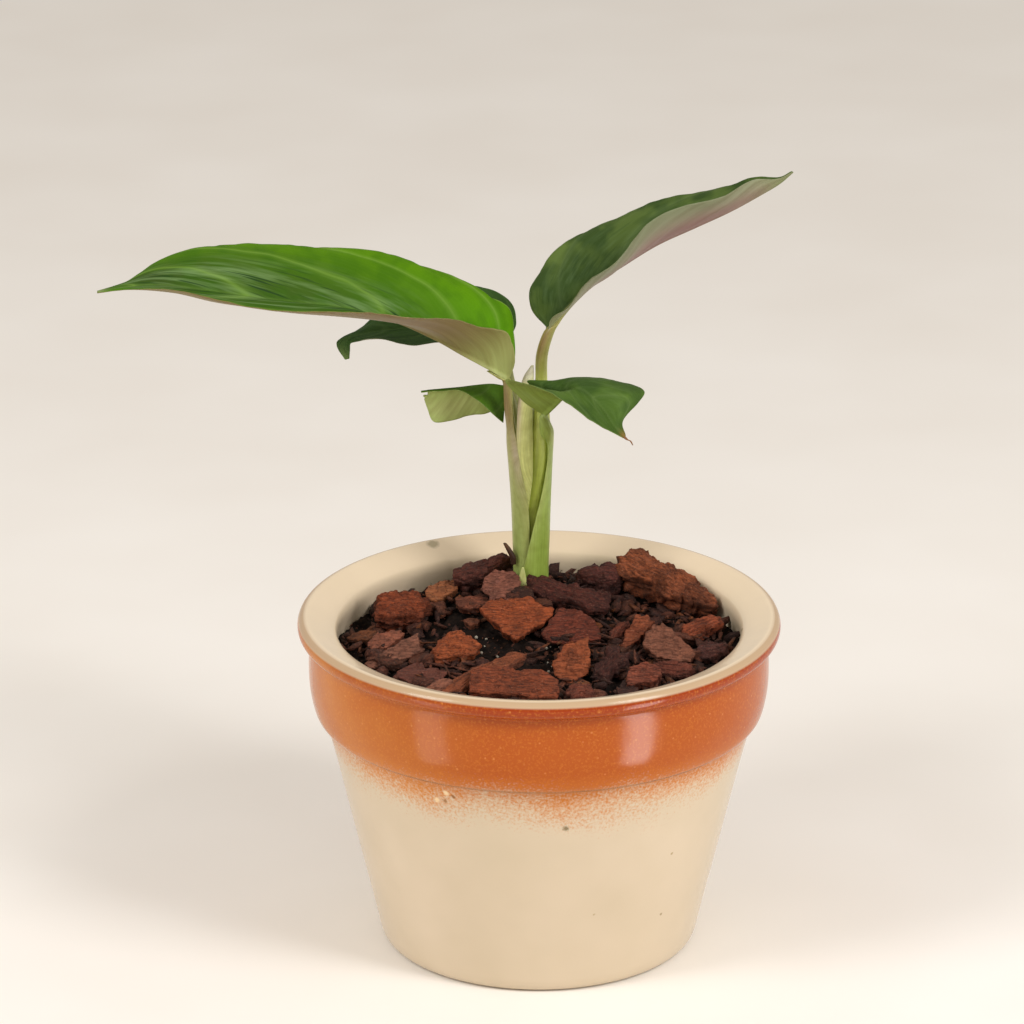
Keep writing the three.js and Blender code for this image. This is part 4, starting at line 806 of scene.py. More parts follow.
def strewnCrumbs(draw):
    # crumbs spread evenly over the mound's circle, with few coarse ones where the soil lies bare
    count = crumbs["coarse"] + crumbs["fine"]
    angle = draw.uniform(0, 2 * np.pi, count)
    radius = crumbs["reach"] * np.sqrt(draw.uniform(0, 1, count))
    x, y = radius * np.cos(angle), radius * np.sin(angle)
    shortest, longest = crumbs["length"]
    length = shortest + (longest - shortest) * (draw.uniform(0, 1, count) ** crumbs["lengthPower"])
    length[crumbs["coarse"]:] = draw.uniform(*crumbs["fineLength"], crumbs["fine"])
    fine = np.arange(count) >= crumbs["coarse"]
    keep = ~inWindow(x, y, 0) | fine | (draw.uniform(0, 1, count) < crumbs["keptInBare"])
    x, y, length = x[keep], y[keep], length[keep]
    count = len(x)
    lift = np.where(inWindow(x, y, crumbs["lowMargin"]), crumbs["lowLift"],
                    gap + mulch["mat"] * draw.uniform(0, crumbs["lift"], count))
    sizes = length[:, None] * np.stack([np.ones(count), draw.uniform(*crumbs["width"], count),
                                        draw.uniform(*crumbs["height"], count)], -1)
    centres = np.stack([x, y, moundTop(x, y) + lift], -1)
    grains = scatterGrains(centres, sizes, crumbs["tilt"], crumbs["roughness"], draw)
    return grains + (drawnTones(count, crumbs["tone"], draw),)


def strewnSlivers(draw):
    # thin slivers that lie askew between the larger chips, thickest round the given places
    middles = np.repeat(slivers["places"], slivers["counts"], axis=0)
    at = draw.normal(middles, slivers["spread"])
    at = at[(np.hypot(*at.T) < mulch["reach"]) & ~inWindow(*at.T, slivers["bareMargin"])]
    count = len(at)
    rise = moundTop(*at.T) + draw.uniform(*slivers["lift"], count)
    sizes = np.stack([draw.uniform(*slivers["length"], count), draw.uniform(*slivers["width"], count),
                      draw.uniform(*slivers["width"], count) * slivers["flatness"]], -1)
    grains = scatterGrains(np.column_stack([at, rise]), sizes, slivers["tilt"], slivers["roughness"], draw)
    return grains + (drawnTones(count, slivers["tone"], draw),)


def buildMulch(material):
    # small chips, crumbs and slivers in one mesh; half a grain's place, added to its own points, shifts its
    # pattern
    points, faces, places, tints = mulchChips()
    draw = np.random.default_rng(crumbs["seed"])
    for strewn in (strewnCrumbs, strewnSlivers):
        grains, triangles, local, tones = strewn(draw)
        faces.append(triangles + len(points))
        points = np.vstack([points, grains])
        places = np.vstack([places, local + grains * 0.5])
        tints = np.vstack([tints, tones])
    makePiece("mulch_crumbs", ["bark_mulch"], points, faces, [material],
              {"chip": places, "tint": tints})


barks = {family: barkMaterial(look) for family, look in barkLooks.items()}
buildBark(barks)
buildMulch(barks["dark"])
print("bark strewn")


# Stalks. A sheath's station has x, y, z, outer radius, wall, and the angles where its wall starts and ends;
# a round stalk's has x, y, z and radius. A wash is a colour, its middle and reach along, its middle and
# reach round, and its strength.

stalks = {
    "left": {
        "sheath": [(-3.1, 32, 84, 4.2, 0.8, 84, 278), (-3.1, 32, 99, 4.3, 0.8, 84, 278),
                   (-3.2, 32, 120, 4.8, 0.8, 95, 274), (-3.2, 31.4, 134, 5.7, 0.8, 112, 250),
                   (-5.6, 30.4, 141, 3.8, 0.9, 104, 262), (-7.5, 29.4, 146.5, 2, 1, 70, 280),
                   (-8.5, 28.2, 153, 1.6, 1, 50, 300), (-9, 27.2, 161, 1.5, 1, 50, 300),
                   (-10.8, 26.7, 162.6, 1.3, 1, 50, 300), (-14.4, 26.2, 164.8, 0.7, 0.6, 50, 300)],
        "tone": "#B8BC72",
        "washes": [("#8E7048", (0.68, 0.2), (0.68, 0.4), 0.9), ("#B8A66A", (0.4, 0.2), (0.38, 0.25), 0.8),
                   ("#BCA898", (0.4, 0.16), (0.9, 0.14), 0.85), ("#A6BC6C", (0.1, 0.2), (0.75, 0.3), 0.8)],
    },
    "folded": {
        "sheath": [(-2.5, 32, 84, 5.3, 0.7, -115, 100), (-2.5, 32, 99, 5.4, 0.7, -115, 100),
                   (-2.4, 32, 114, 5.7, 0.7, -86, 92), (-2.2, 31.8, 129, 6, 0.7, -52, 72),
                   (-1.6, 31.4, 138, 5.8, 0.8, -42, 40), (0.6, 29.4, 143, 3.8, 0.8, -64, 12),
                   (2, 26.8, 146.5, 2.3, 0.9, -140, 20), (1.8, 24.6, 149.6, 1.6, 1, -200, 40),
                   (1.4, 23, 152, 1.2, 0.9, -220, 60), (1.7, 22.7, 153.4, 0.7, 0.6, -220, 60)],
        "tone": "#9CB452",
        # the second, paler wash is painted light that lifts the shade the folded leaf casts on its sheath
        "washes": [("#B8C678", (0.35, 0.2), (0.0, 0.12), 0.9), ("#CCD884", (0.54, 0.14), (0.8, 0.5), 0.85),
                   ("#96A464", (0.85, 0.2), (0.4, 0.6), 0.6)],
    },
    "right": {
        "rod": [(-2.5, 32, 84, 2.7), (-2.5, 32, 99, 2.8), (-1.8, 31.6, 118, 2.9), (-0.6, 31.1, 130, 3.05),
                (0.2, 30.9, 139, 3), (0.5, 30.8, 147, 2.8), (0.7, 30.3, 154, 2.2), (0.7, 30, 161.4, 1.75),
                (0.9, 30, 168.5, 1.75), (2.8, 30, 175.2, 1.6), (5.2, 30, 178.6, 1.0), (8, 30, 182.4, 0.6),
                (11, 29.7, 186, 0.3)],
        "tone": "#C6D468",
        # the second, paler wash is painted light that lifts the shade the folded leaf casts on the stalk
        "washes": [("#96A434", (0.26, 0.1), (0.68, 0.12), 0.9), ("#DCE67C", (0.44, 0.09), (0.7, 0.5), 0.8),
                   ("#8A6446", (0.72, 0.12), (0.66, 0.24), 0.9),
                   ("#8E8A4E", (0.68, 0.12), (0.88, 0.15), 0.7), ("#8E7E58", (0.95, 0.16), (0.5, 2), 0.95)],
    },
    "torn": {
        "rod": [(-5.5, 38.4, 86, 1.3), (-6.3, 38.8, 125, 1.3), (-7, 38.6, 146, 1.2), (-9, 38.2, 155.6, 1)],
        "tone": "#808C48", "washes": [("#9C986C", (0.8, 0.2), (0.5, 1), 0.5)],
    },
    "back": {
        "rod": [(-1.5, 40, 86, 1.4), (-1.8, 41.2, 122, 1.4), (-3.6, 43.6, 141, 1.3), (-7.4, 45.4, 152, 1.2),
                (-10, 44.4, 165.9, 1)],
        "tone": "#8C9858", "washes": [("#887C58", (0.8, 0.3), (0.5, 1), 0.5)],
    },
}
youngParts = {
    "new_leaf": {
        "rod": [(-3.7, 28.8, 121, 0.7), (-3.9, 28.4, 131, 2.1), (-4.1, 28, 139, 2.45), (-4.1, 28, 147, 2.4),
                (-3.9, 28.6, 155, 2.1), (-3.1, 29.8, 161.2, 1.6), (-1.9, 30, 165.2, 0.4)],
        "tone": "#DADE92",
        "washes": [("#D2BEB0", (0.62, 0.22), (0.58, 0.1), 0.9), ("#EAE2DE", (0.95, 0.16), (0.7, 0.5), 0.9)],
    },
    "dry_stub": {
        "rod": [(-7.4, 28.3, 104.2, 0.8), (-7.6, 28.2, 106.4, 0.9), (-8.8, 28.3, 108.8, 0.8),
                (-9.9, 28.4, 110.6, 0.5)],
        "tone": "#3A1E0E", "washes": [("#6A4426", (0.9, 0.2), (0.7, 0.5), 0.7)],
    },
    "basal_bract": {
        "sheath": [(-2.6, 32, 97.2, 6.5, 0.7, -124, -95), (-2.6, 32, 101, 6.6, 0.7, -118, -100),
                   (-2.6, 32, 104, 6.8, 0.6, -110, -105)],
        "tone": "#E0E6A0", "washes": [("#C0BC68", (0.0, 0.3), (0.5, 1), 0.6)],
    },
}
driedTip = {"rod": [(24.3, 4.6, 152.5, 0.5), (25.2, 4.4, 151.6, 0.4), (26.2, 4.2, 151.2, 0.25),
                    (26.9, 4, 150, 0.12)],
            "tone": "#8A5A34", "washes": []}
stalkGrid = {"rows": 96, "columns": 48, "edge": 0.35, "edgePower": 6, "leastBore": 0.25,
             # fibres: height and length in mm, how many to the radian or to the radius, seed
             "fibre": 0.05, "fibreLength": 14, "sheathFibres": 9, "rodFibres": 4, "fibreSeed": 4}
# cells to the mm round and along the stalk: blotches of 3 mm, and lines 14 mm long and 0.4 mm apart, which is
# coarser than real fibres, so that they show
stalkGrain = {"lines": (2.4, 0.07, 1), "blotches": 0.35, "relief": 0.12}


def fibres(*places):
    # a fine unevenness: value noise at the places, which are drawn out along the stalk
    stacked = np.stack(np.broadcast_arrays(*places), -1)
    return stalkGrid["fibre"] * latticeNoise(stacked, 1, stalkGrid["fibreSeed"])


def sheathSurface(stations, rows, columns):
    # a wall carried along the stations: inner and outer arcs between the two angles, thinner at its edges
    share = np.linspace(0, 1, rows)
    x, y, z, radius, wall, start, end = np.moveaxis(alongStations(stations, share), -1, 0)[..., None]
    across = np.linspace(0, 1, columns)
    angle = np.radians(start + (end - start) * across)
    outer = radius + fibres(angle * stalkGrid["sheathFibres"], z / stalkGrid["fibreLength"], 0 * z)
    thin = 1 - (1 - stalkGrid["edge"]) * np.abs(2 * across - 1) ** stalkGrid["edgePower"]
    inner = np.maximum(radius - wall * thin, stalkGrid["leastBore"])
    grids = [np.stack([x + reach * np.cos(angle), y + reach * np.sin(angle), z + 0 * reach], -1)
             for reach in (inner, outer)]
    u, v, arc = (np.tile(value.ravel(), 2)
                 for value in np.broadcast_arrays(share[:, None], across, angle * radius))
    return np.stack(grids).reshape(-1, 3), sheetFaces(rows, columns), u, v, arc


def rodSurface(stations, rows, columns):
    # level rings of the changing radius along the stations, closed by a centre point at either end
    share = np.linspace(0, 1, rows)
    x, y, z, radius = np.moveaxis(alongStations(stations, share), -1, 0)[..., None]
    angle = np.linspace(0, 2 * np.pi, columns, endpoint=False)
    around = stalkGrid["rodFibres"] * np.stack([np.cos(angle), np.sin(angle)])
    reach = radius + fibres(*around, z / stalkGrid["fibreLength"])
    rings = np.stack([x + reach * np.cos(angle), y + reach * np.sin(angle), z + 0 * reach], -1)
    points = np.vstack([rings.reshape(-1, 3), rings[0].mean(axis=0), rings[-1].mean(axis=0)])
    u, v, arc = (np.append(value.ravel(), [0, 1])
                 for value in np.broadcast_arrays(share[:, None], angle / (2 * np.pi), angle * radius))
    return points, tubeFaces(rows, columns), u, v, arc


def buildStalk(name, nodes, part, material):
    # a sheath or a round stalk with its washes; the fibres' pattern lies on (length of arc, height)
    surface, stations = (sheathSurface, part["sheath"]) if "sheath" in part else (rodSurface, part["rod"])
    points, faces, u, v, arc = surface(stations, stalkGrid["rows"], stalkGrid["columns"])
    fibre = np.stack([arc, points[:, 2], 0 * arc], -1)
    makePiece(name, nodes, points, faces, [material],
              {"fibre": fibre, "tint": washOver(u, v, part["tone"], part["washes"])})


def stalkMaterial(name, roughness, strength):
    # living stalk: waxy and smooth, with fine lengthwise fibres that show as paler and darker lines
    material = startMaterial(name)
    fibre = addNode(material, "Attribute", {"attribute_name": "fibre"}).outputs["Vector"]
    tint = addNode(material, "Attribute", {"attribute_name": "tint"}).outputs["Color"]
    scaled = addNode(material, "VectorMath", {"operation": "MULTIPLY"},
                     {0: fibre, 1: stalkGrain["lines"]}).outputs[0]
    lines = addNode(material, "TexNoise", {}, {"Vector": scaled, "Scale": 1.0, "Detail": 3.0}).outputs["Fac"]
    blotch = addNode(material, "TexNoise", {}, {"Vector": fibre, "Scale": stalkGrain["blotches"],
                                                "Detail": 3.0}).outputs["Fac"]
    lineTone = addNode(material, "ValToRGB", {}, {"Fac": lines},
                       [(0.3, "#DADAC2"), (0.7, "#FFFFF6")]).outputs[0]
    blotchTone = addNode(material, "ValToRGB", {}, {"Fac": blotch},
                         [(0.35, "#E4E2D2"), (0.65, "#FFFFFF")]).outputs[0]
    colour = tint
    for share, tone in ((strength, lineTone), (0.7, blotchTone)):
        colour = addNode(material, "MixRGB", {"blend_type": "MULTIPLY"}, {"Fac": share, "Color1": colour,
                                                                          "Color2": tone}).outputs[0]
    bump = addNode(material, "Bump", {}, {"Strength": 0.4, "Distance": stalkGrain["relief"] * mm,
                                          "Height": lines}).outputs[0]
    skin = {"Roughness": roughness, "IOR": 1.45, "Subsurface Weight": 0.12, "Subsurface Radius": (1, 1, 0.4),
            "Subsurface Scale": 1.2 * mm}
    return closeMaterial(material, skin, colour, bump)


greenStalk = stalkMaterial("living leaf stalk, waxy", roughness=0.38, strength=0.7)
dryStalk = stalkMaterial("papery bract and dried stub", roughness=0.6, strength=0.9)
for side, stalk in stalks.items():
    buildStalk("leaf_stalk_" + side, ["stalk_" + side], stalk, greenStalk)
for node, part in youngParts.items():
    buildStalk(node + "_part", [node], part, dryStalk)
buildStalk("dried_leaf_tip", [], driedTip, dryStalk)
print("stalks grown")


# Leaf blades. Midrib, near margin and far margin run from base to tip; s is the share along and t the share
# from the midrib to a margin, below 0 on the near half. upperSide says which side of the grid faces up. The
# sags and the scallop are shares of the half width, ragged is a share of the length, and wave, rib and quilt
# are in mm. A face's tones are its base and its washes over (s, t); a brushed place has its middle and reach
# in s and in |t|, and its strength.

leaves = {
    "left": {
        "slot": "bright_leaf", "rows": 220, "half": 44, "upperSide": -1, "nearSag": -0.08, "farSag": 0.09,
        "wave": 0.9, "waves": 3.5, "rib": 1.0, "slant": 0.3, "veins": 7, "quilt": 0.3, "ragged": 0.0,
        "scallop": 0.07,
        "midrib": [(-9, 27, 162.3), (-12.5, 26.5, 164.5), (-16.5, 26, 167), (-22.5, 25, 171),
                   (-30.5, 23, 176.5), (-42.5, 20, 183), (-57, 17, 187.5), (-74.5, 14, 190.5),
                   (-91.5, 11, 194), (-107, 8, 197), (-118, 6, 197.3), (-126, 4.5, 196.2)],
        "near": [(-8.4, 26.4, 162.6), (-6.7, 25.5, 169), (-8.7, 23, 176.5), (-14.7, 17.7, 181),
                 (-25, 10, 187), (-39.7, 1, 189.7), (-56.6, -4.4, 192.8), (-73.5, -7, 195.4),
                 (-90.5, -7, 197.3), (-106, -2.8, 199), (-117.7, 3.1, 197.8), (-126, 4, 196.2)],
        "far": [(-8.4, 27.8, 162.6), (-6.7, 31.2, 168.8), (-7.5, 35, 177), (-11.3, 36.4, 182.5),
                (-21.2, 38, 189), (-37.4, 37.3, 195.5), (-57, 36.7, 198.4), (-75.4, 33, 201.8),
                (-94.2, 28, 203.1), (-109.4, 20, 199.9), (-117.8, 10, 197.6), (-126, 5, 196.3)],
        "upper": ("#4A7408", [("#5A9206", (0.22, 0.2), (0.6, 0.8), 0.9),
                              ("#5B8A08", (0.5, 0.4), (1, 0.3), 0.8),
                              ("#36441E", (0.88, 0.26), (0.2, 0.6), 0.9),
                              ("#3A541E", (0.62, 0.2), (0.0, 0.4), 0.75),
                              ("#8C9468", (1, 0.03), (0, 1.5), 0.9)]),
        "under": ("#847A48", [("#8A744C", (0.6, 0.4), (-0.95, 0.6), 0.8),
                              ("#B2BC74", (0.08, 0.18), (-0.4, 1), 0.95),
                              ("#947C64", (0.42, 0.12), (-0.6, 0.5), 0.7)]),
        "brush": [((0.6, 0.13), (0.15, 0.26), 1.0), ((0.78, 0.12), (0.28, 0.3), 1.0),
                  ((0.9, 0.06), (0.2, 0.4), 0.8), ((0.47, 0.05), (0.05, 0.15), 0.9)],
    },
    "right": {
        "slot": "dark_leaf", "rows": 200, "half": 40, "upperSide": 1, "nearSag": -0.09, "farSag": 0.08,
        "wave": 0.8, "waves": 4, "rib": 0.9, "slant": 0.28, "veins": 7, "quilt": 0.3, "ragged": 0.0,
        "scallop": 0.02,
        "midrib": [(2.9, 30, 176.2), (4.9, 30, 178.8), (9.3, 30, 184.3), (15.3, 29.5, 190.3),
                   (23.3, 29, 196), (33.7, 28, 203), (44.8, 27, 208.6), (54.8, 26, 213.7),
                   (63.6, 25, 219), (68.7, 24.5, 222.3), (72.6, 24, 225.9)],
        "near": [(2.6, 29.3, 176.6), (4.1, 27, 180.9), (8, 22.2, 186), (13.4, 17.2, 193.8),
                 (20.4, 13.8, 201.6), (30, 14.4, 212.5), (42, 16.5, 218), (52, 18.2, 221),
                 (60.8, 21.3, 223.7), (67.4, 23.5, 224.2), (72.3, 23.6, 226)],
        "far": [(2.3, 30.6, 176.8), (-1.7, 36, 180), (-2.9, 37.7, 186.4), (1.2, 39.7, 191.8),
                (10, 40.6, 201), (24, 42.6, 207.3), (37.3, 40, 212.4), (50.5, 36.6, 217.4),
                (60.6, 31, 221.5), (67.9, 26.6, 223.4), (72.3, 24.4, 226)],
        "upper": ("#4A5D2A", [("#687C3C", (0.35, 0.22), (0.9, 0.3), 0.6),
                              ("#5A6E34", (0.75, 0.25), (0.6, 0.5), 0.5),
                              ("#2E461C", (0.25, 0.12), (0.35, 0.3), 0.7),
                              ("#96A458", (0.1, 0.1), (-0.5, 0.5), 0.7)]),
        "under": ("#9C9682", [("#8C6464", (0.55, 0.36), (-0.25, 0.45), 0.9),
                              ("#7C8664", (0.5, 0.45), (-0.98, 0.35), 0.85),
                              ("#7E8A58", (0.95, 0.14), (0, 1.2), 0.95),
                              ("#94A068", (0.08, 0.15), (0, 1.2), 0.8)]),
        "brush": [((0.22, 0.2), (0.45, 0.45), 0.35), ((0.5, 0.25), (0.35, 0.4), 0.25)],
    },
    "folded": {
        "slot": "mid_leaf", "rows": 140, "half": 34, "upperSide": 1, "nearSag": -0.06, "farSag": 0.1,
        "wave": 0.6, "waves": 2.5, "rib": 0.7, "slant": 0.3, "veins": 6, "quilt": 0.25, "ragged": 0.0,
        "scallop": 0.02,
        "midrib": [(1.4, 22.8, 152.7), (3.9, 22, 155.4), (6.2, 21, 158.1), (8.1, 19, 160.9),
                   (11.2, 16, 163.2), (14.9, 13, 161.8), (18.4, 10, 158.6), (21.5, 7, 154.8),
                   (24.5, 4.5, 152.2)],
        "near": [(0.8, 22.4, 152.9), (-5.4, 19.5, 158.6), (-9.8, 18.5, 165.1), (-0.2, 13, 164.6),
                 (7.4, 8.3, 161.2), (12.8, 4, 159.4), (18.3, 3, 155.9), (21.5, 3.5, 153.6),
                 (24.2, 4.1, 152.2)],
        "far": [(1.9, 23.4, 152.9), (1.8, 25, 156.7), (-3.5, 26, 162), (3.5, 26.3, 162.2),
                (11.3, 26, 162.5), (21.6, 24, 162.6), (30.6, 17, 162), (24.2, 8.8, 156), (24.8, 5, 152.5)],
        "upper": ("#435C22", [("#5A7630", (0.75, 0.2), (0.6, 0.5), 0.6),
                              ("#32491C", (0.45, 0.15), (0.5, 0.4), 0.6),
                              ("#6C8838", (0.3, 0.2), (-0.6, 0.5), 0.6),
                              ("#A06A38", (1.0, 0.05), (0, 1.2), 0.9)]),
        "under": ("#8CA146", [("#7E8C4C", (0.4, 0.3), (-0.9, 0.4), 0.6),
                              ("#7E943E", (0.15, 0.2), (0, 0.5), 0.6)]),
        "brush": [((0.6, 0.4), (0.5, 0.6), 0.25)],
    },
    "torn": {
        "slot": "mid_leaf", "rows": 110, "half": 32, "upperSide": -1, "nearSag": 0.06, "farSag": 0.06,
        "wave": 0.3, "waves": 2, "rib": 0.5, "slant": 0.2, "veins": 5, "quilt": 0.2, "ragged": 0.07,
        "scallop": 0.0,
        "midrib": [(-9.9, 38, 156.4), (-14, 38, 156.9), (-19, 38.5, 156.2), (-23.3, 39, 155.4),
                   (-29, 39, 154.8), (-34.4, 39, 154.2)],
        "near": [(-10.4, 31.5, 147), (-14.5, 28.7, 152), (-19.5, 32.2, 154.7), (-23.5, 37.2, 155.2),
                 (-29, 37.6, 154.6), (-34.4, 38, 154.1)],
        "far": [(-10.8, 42.8, 148.8), (-15, 42, 146.6), (-20, 42, 145.3), (-25.4, 41.3, 144.4),
                (-30.7, 40.4, 144.2), (-32.6, 41.6, 148)],
        "upper": ("#4E7216", [("#587C28", (0.3, 0.3), (-0.6, 0.4), 0.5)]),
        "under": ("#AEC270", [("#C2C884", (0.6, 0.4), (0.6, 0.4), 0.7),
                              ("#8E9C50", (0.1, 0.2), (0.4, 0.6), 0.6)]),
        "brush": [((0.3, 0.4), (-0.5, 0.5), 0.4)],
    },
    "back": {
        "slot": "dark_leaf", "rows": 140, "half": 36, "upperSide": -1, "nearSag": -0.08, "farSag": 0.08,
        "wave": 0.6, "waves": 3, "rib": 0.6, "slant": 0.3, "veins": 6, "quilt": 0.25, "ragged": 0.0,
        "scallop": 0.02,
        "midrib": [(-10.5, 44, 166.7), (-14.3, 45, 169.4), (-19, 46, 171.3), (-26.5, 47, 171.8),
                   (-36.2, 47, 171.2), (-45, 46, 170.6), (-51.7, 44.5, 169.9), (-56, 43, 168.9),
                   (-57.5, 42, 166.4), (-56, 41.5, 163.2)],
        "near": [(-10.6, 43.3, 166.9), (-14.8, 39.1, 168.4), (-20, 35.6, 170.2), (-27.6, 34.1, 171.2),
                 (-38.1, 34.2, 170.5), (-45.4, 36, 171), (-51.8, 39.5, 169.6), (-54.8, 41.2, 168.6),
                 (-55.1, 41.6, 165.9), (-55.4, 41.2, 163.4)],
        "far": [(-10, 44.7, 167), (-6.4, 50, 171.5), (-9, 53.8, 177.3), (-19.6, 59.2, 179.5),
                (-32.8, 60.3, 177.2), (-43.7, 57.4, 174.2), (-51.5, 50, 170), (-57.9, 45, 168.6),
                (-59, 43, 167), (-56.6, 41.9, 163)],
        "upper": ("#3C5A28", [("#4E6E38", (0.75, 0.25), (0.3, 0.6), 0.6),
                              ("#7E9254", (0.97, 0.08), (0, 1.2), 0.8)]),
        "under": ("#8A8C6A", [("#9A7A70", (0.5, 0.4), (0, 0.4), 0.6),
                              ("#7E9248", (0.97, 0.12), (0, 1), 0.7)]),
        "brush": [((0.6, 0.4), (0.4, 0.6), 0.6)],
    },
}
# mm, powers of t, and cells of the noises
blade = {"halfThickness": 0.22, "edgeThinning": 0.55, "edgePower": 8, "tangentStep": 0.01,
         "columnPower": 1.35, "waveShare": 0.5, "wavePower": 3, "farPhase": 0.9, "slantPower": 1.5,
         "ribWidth": 0.8, "grooveDepth": 0.35, "grooveWidth": 0.6, "domePower": 0.7, "strokeSlant": 0.5,
         "scallopShape": 0.6, "scallopPower": 5, "ruffle": 0.25, "rufflePower": 6, "ruffleCell": 4,
         "ruffleSeed": 15, "tearCells": 5, "tearMiddle": 0.5, "tearReach": 0.7, "tearSeed": 77}


def bladeSurface(leaf):
    # midrib plus (margin - midrib) * t, moved along the blade's normal by a sag of 4t(1-t), an edge wave of
    # t^3 sin(pi s)^0.5, domes of |sin|^0.7 between the side veins and a fine ruffle of t^6 at the margin,
    # which is notched by a share of t^5 at the ends of the side veins. The midrib is a groove above and a
    # ridge below.
    s = np.linspace(0, 1, leaf["rows"])[:, None]
    t = np.linspace(-1, 1, 2 * leaf["half"] + 1)[None]
    t = np.sign(t) * np.abs(t) ** blade["columnPower"]
    s, t = np.broadcast_arrays(s, t)
    tear = layeredNoise(np.stack([t * blade["tearCells"], 0 * t, 0 * t], -1), 1, blade["tearSeed"])
    s = s * (1 - leaf["ragged"] * np.clip(blade["tearMiddle"] + blade["tearReach"] * tear, 0, 1))
    midrib, near, far = (alongStations(leaf[line], s) for line in ("midrib", "near", "far"))
    step = blade["tangentStep"]
    along = alongStations(leaf["midrib"], s + step) - alongStations(leaf["midrib"], s - step)
    normal = np.cross(near - far, along)
    normal /= np.maximum(np.linalg.norm(normal, axis=-1, keepdims=True), 1e-9)
    isNear = t < 0
    reach = np.where(isNear[..., None], near, far) - midrib
    width = np.linalg.norm(reach, axis=-1)
    a = np.abs(t)
    bow = 4 * a * (1 - a)
    sag = leaf["upperSide"] * np.where(isNear, leaf["nearSag"], leaf["farSag"]) * width * bow
    taper = np.sin(np.pi * np.clip(s, 0, 1)) ** blade["waveShare"]
    phase = np.where(isNear, 0, blade["farPhase"])
    swing = np.sin(2 * np.pi * (leaf["waves"] * s + phase))
    wave = leaf["wave"] * a ** blade["wavePower"] * taper * swing
    vein = s - leaf["slant"] * a ** blade["slantPower"]
    between = np.abs(np.sin(np.pi * leaf["veins"] * vein))
    notch = 1 - between ** blade["scallopShape"]
    scallop = leaf["scallop"] * a ** blade["scallopPower"] * taper * notch
    grid = midrib + reach * (a * (1 - scallop))[..., None] + normal * (sag + wave)[..., None]
    up = surfaceNormals(grid) * leaf["upperSide"]
    dome = leaf["quilt"] * (between ** blade["domePower"] - 0.5) * bow * taper
    ruffle = layeredNoise(grid, blade["ruffleCell"], blade["ruffleSeed"], octaves=2)
    ruffle *= blade["ruffle"] * a ** blade["rufflePower"] * taper
    distance = a * width
    groove = blade["grooveDepth"] * np.exp(-(distance / blade["grooveWidth"]) ** 2) * (1 - s)
    ridge = leaf["rib"] * (1 - s) * np.exp(-(distance / blade["ribWidth"]) ** 2)
    half = blade["halfThickness"] * (1 - blade["edgeThinning"] * a ** blade["edgePower"])
    middle = grid + up * (dome + ruffle)[..., None]
    upper = middle + up * (half - groove)[..., None]
    under = middle - up * (half + ridge)[..., None]
    return upper, under, s, t, np.stack([vein, t, distance * np.sign(t)], -1)


def brushField(s, t, strokes):
    # where the upper face is brushed: a sum of bells strength * exp(-((s-s0)/ds)^2 - ((|t|-t0)/dt)^2)
    field = np.zeros(s.shape)
    for (centreS, reachS), (centreT, reachT), strength in strokes:
        field += strength * np.exp(-((s - centreS) / reachS) ** 2 - ((np.abs(t) - centreT) / reachT) ** 2)
    return np.clip(field, 0, 1)


def buildLeaf(name, leaf, materials):
    # the two faces of the blade, front grid first, and a rim of the underside's material. The attribute
    # "blade" is (s - slant * |t|^1.5, t, mm from the midrib), and "stroke" is (s - slant * |t|, t).
    upper, under, s, t, place = bladeSurface(leaf)
    faces = sheetFaces(*s.shape)
    sides = [(upper, leaf["upper"], 0), (under, leaf["under"], 1)][::leaf["upperSide"]]
    tints = [washOver(s, t, *tones) for _, tones, _ in sides]
    faceKinds = np.repeat([kind for _, _, kind in sides] + [1], [len(faceBlock) for faceBlock in faces])
    stroke = np.stack([s - blade["strokeSlant"] * np.abs(t), t, 0 * t], -1)
    values = {"tint": np.stack(tints).reshape(-1, 4), "blade": np.tile(place.reshape(-1, 3), (2, 1)),
              "brush": np.tile(brushField(s, t, leaf["brush"]).ravel(), 2),
              "stroke": np.tile(stroke.reshape(-1, 3), (2, 1))}
    makePiece("leaf_blade_" + name, ["leaf_" + name], np.stack([side for side, _, _ in sides]),
              faces, materials, values, faceKinds)


# tones of the pattern, how many main veins and where they start, and the shares of the veins' halo and line,
# the fine veins, the dark patches and the midrib
bladeLooks = {
    "left": {"feather": "#7E9A64", "stroke": "#24401C", "vein": "#86A848", "shade": "#35600A", "veins": 5,
             "phase": 0.42, "halo": 0.22, "line": 0.2, "fine": 0.02, "patches": 0.45, "midrib": 0.12},
    "right": {"feather": "#6E8658", "stroke": "#22391A", "vein": "#7A8E5E", "shade": "#2A401C", "veins": 4,
              "phase": 0.2, "halo": 0.1, "line": 0.04, "fine": 0.015, "patches": 0.75, "midrib": 0.35},
    "folded": {"feather": "#76905A", "stroke": "#2A431C", "vein": "#7E9458", "shade": "#324A20", "veins": 4,
               "phase": 0.3, "halo": 0.1, "line": 0.05, "fine": 0.015, "patches": 0.6, "midrib": 0.1},
    "torn": {"feather": "#72885A", "stroke": "#2A4420", "vein": "#7E9656", "shade": "#304A1E", "veins": 4,
             "phase": 0.1, "halo": 0.12, "line": 0.06, "fine": 0.02, "patches": 0.35, "midrib": 0.2},
    "back": {"feather": "#56704A", "stroke": "#1E341A", "vein": "#64804A", "shade": "#2A4220", "veins": 5,
             "phase": 0.1, "halo": 0.2, "line": 0.12, "fine": 0.02, "patches": 0.4, "midrib": 0.2},
}
# sizes in mm of the blotches, the veins' wobble and the velvet; cells to the leaf's length and half width
# of the strokes, the feathers and the mottled underside; how far the veins stray; number of fine ones. The
# velvet's real grain is about 0.1 mm, which wouldn't show.
bladePattern = {"blotch": 8, "wobbleCell": 16, "velvet": 0.4, "strokeScale": (44, 6, 0),
                "featherScale": (17, 4.5, 0), "underScale": (16, 1.4, 0), "wobble": 0.06, "fineVeins": 46}


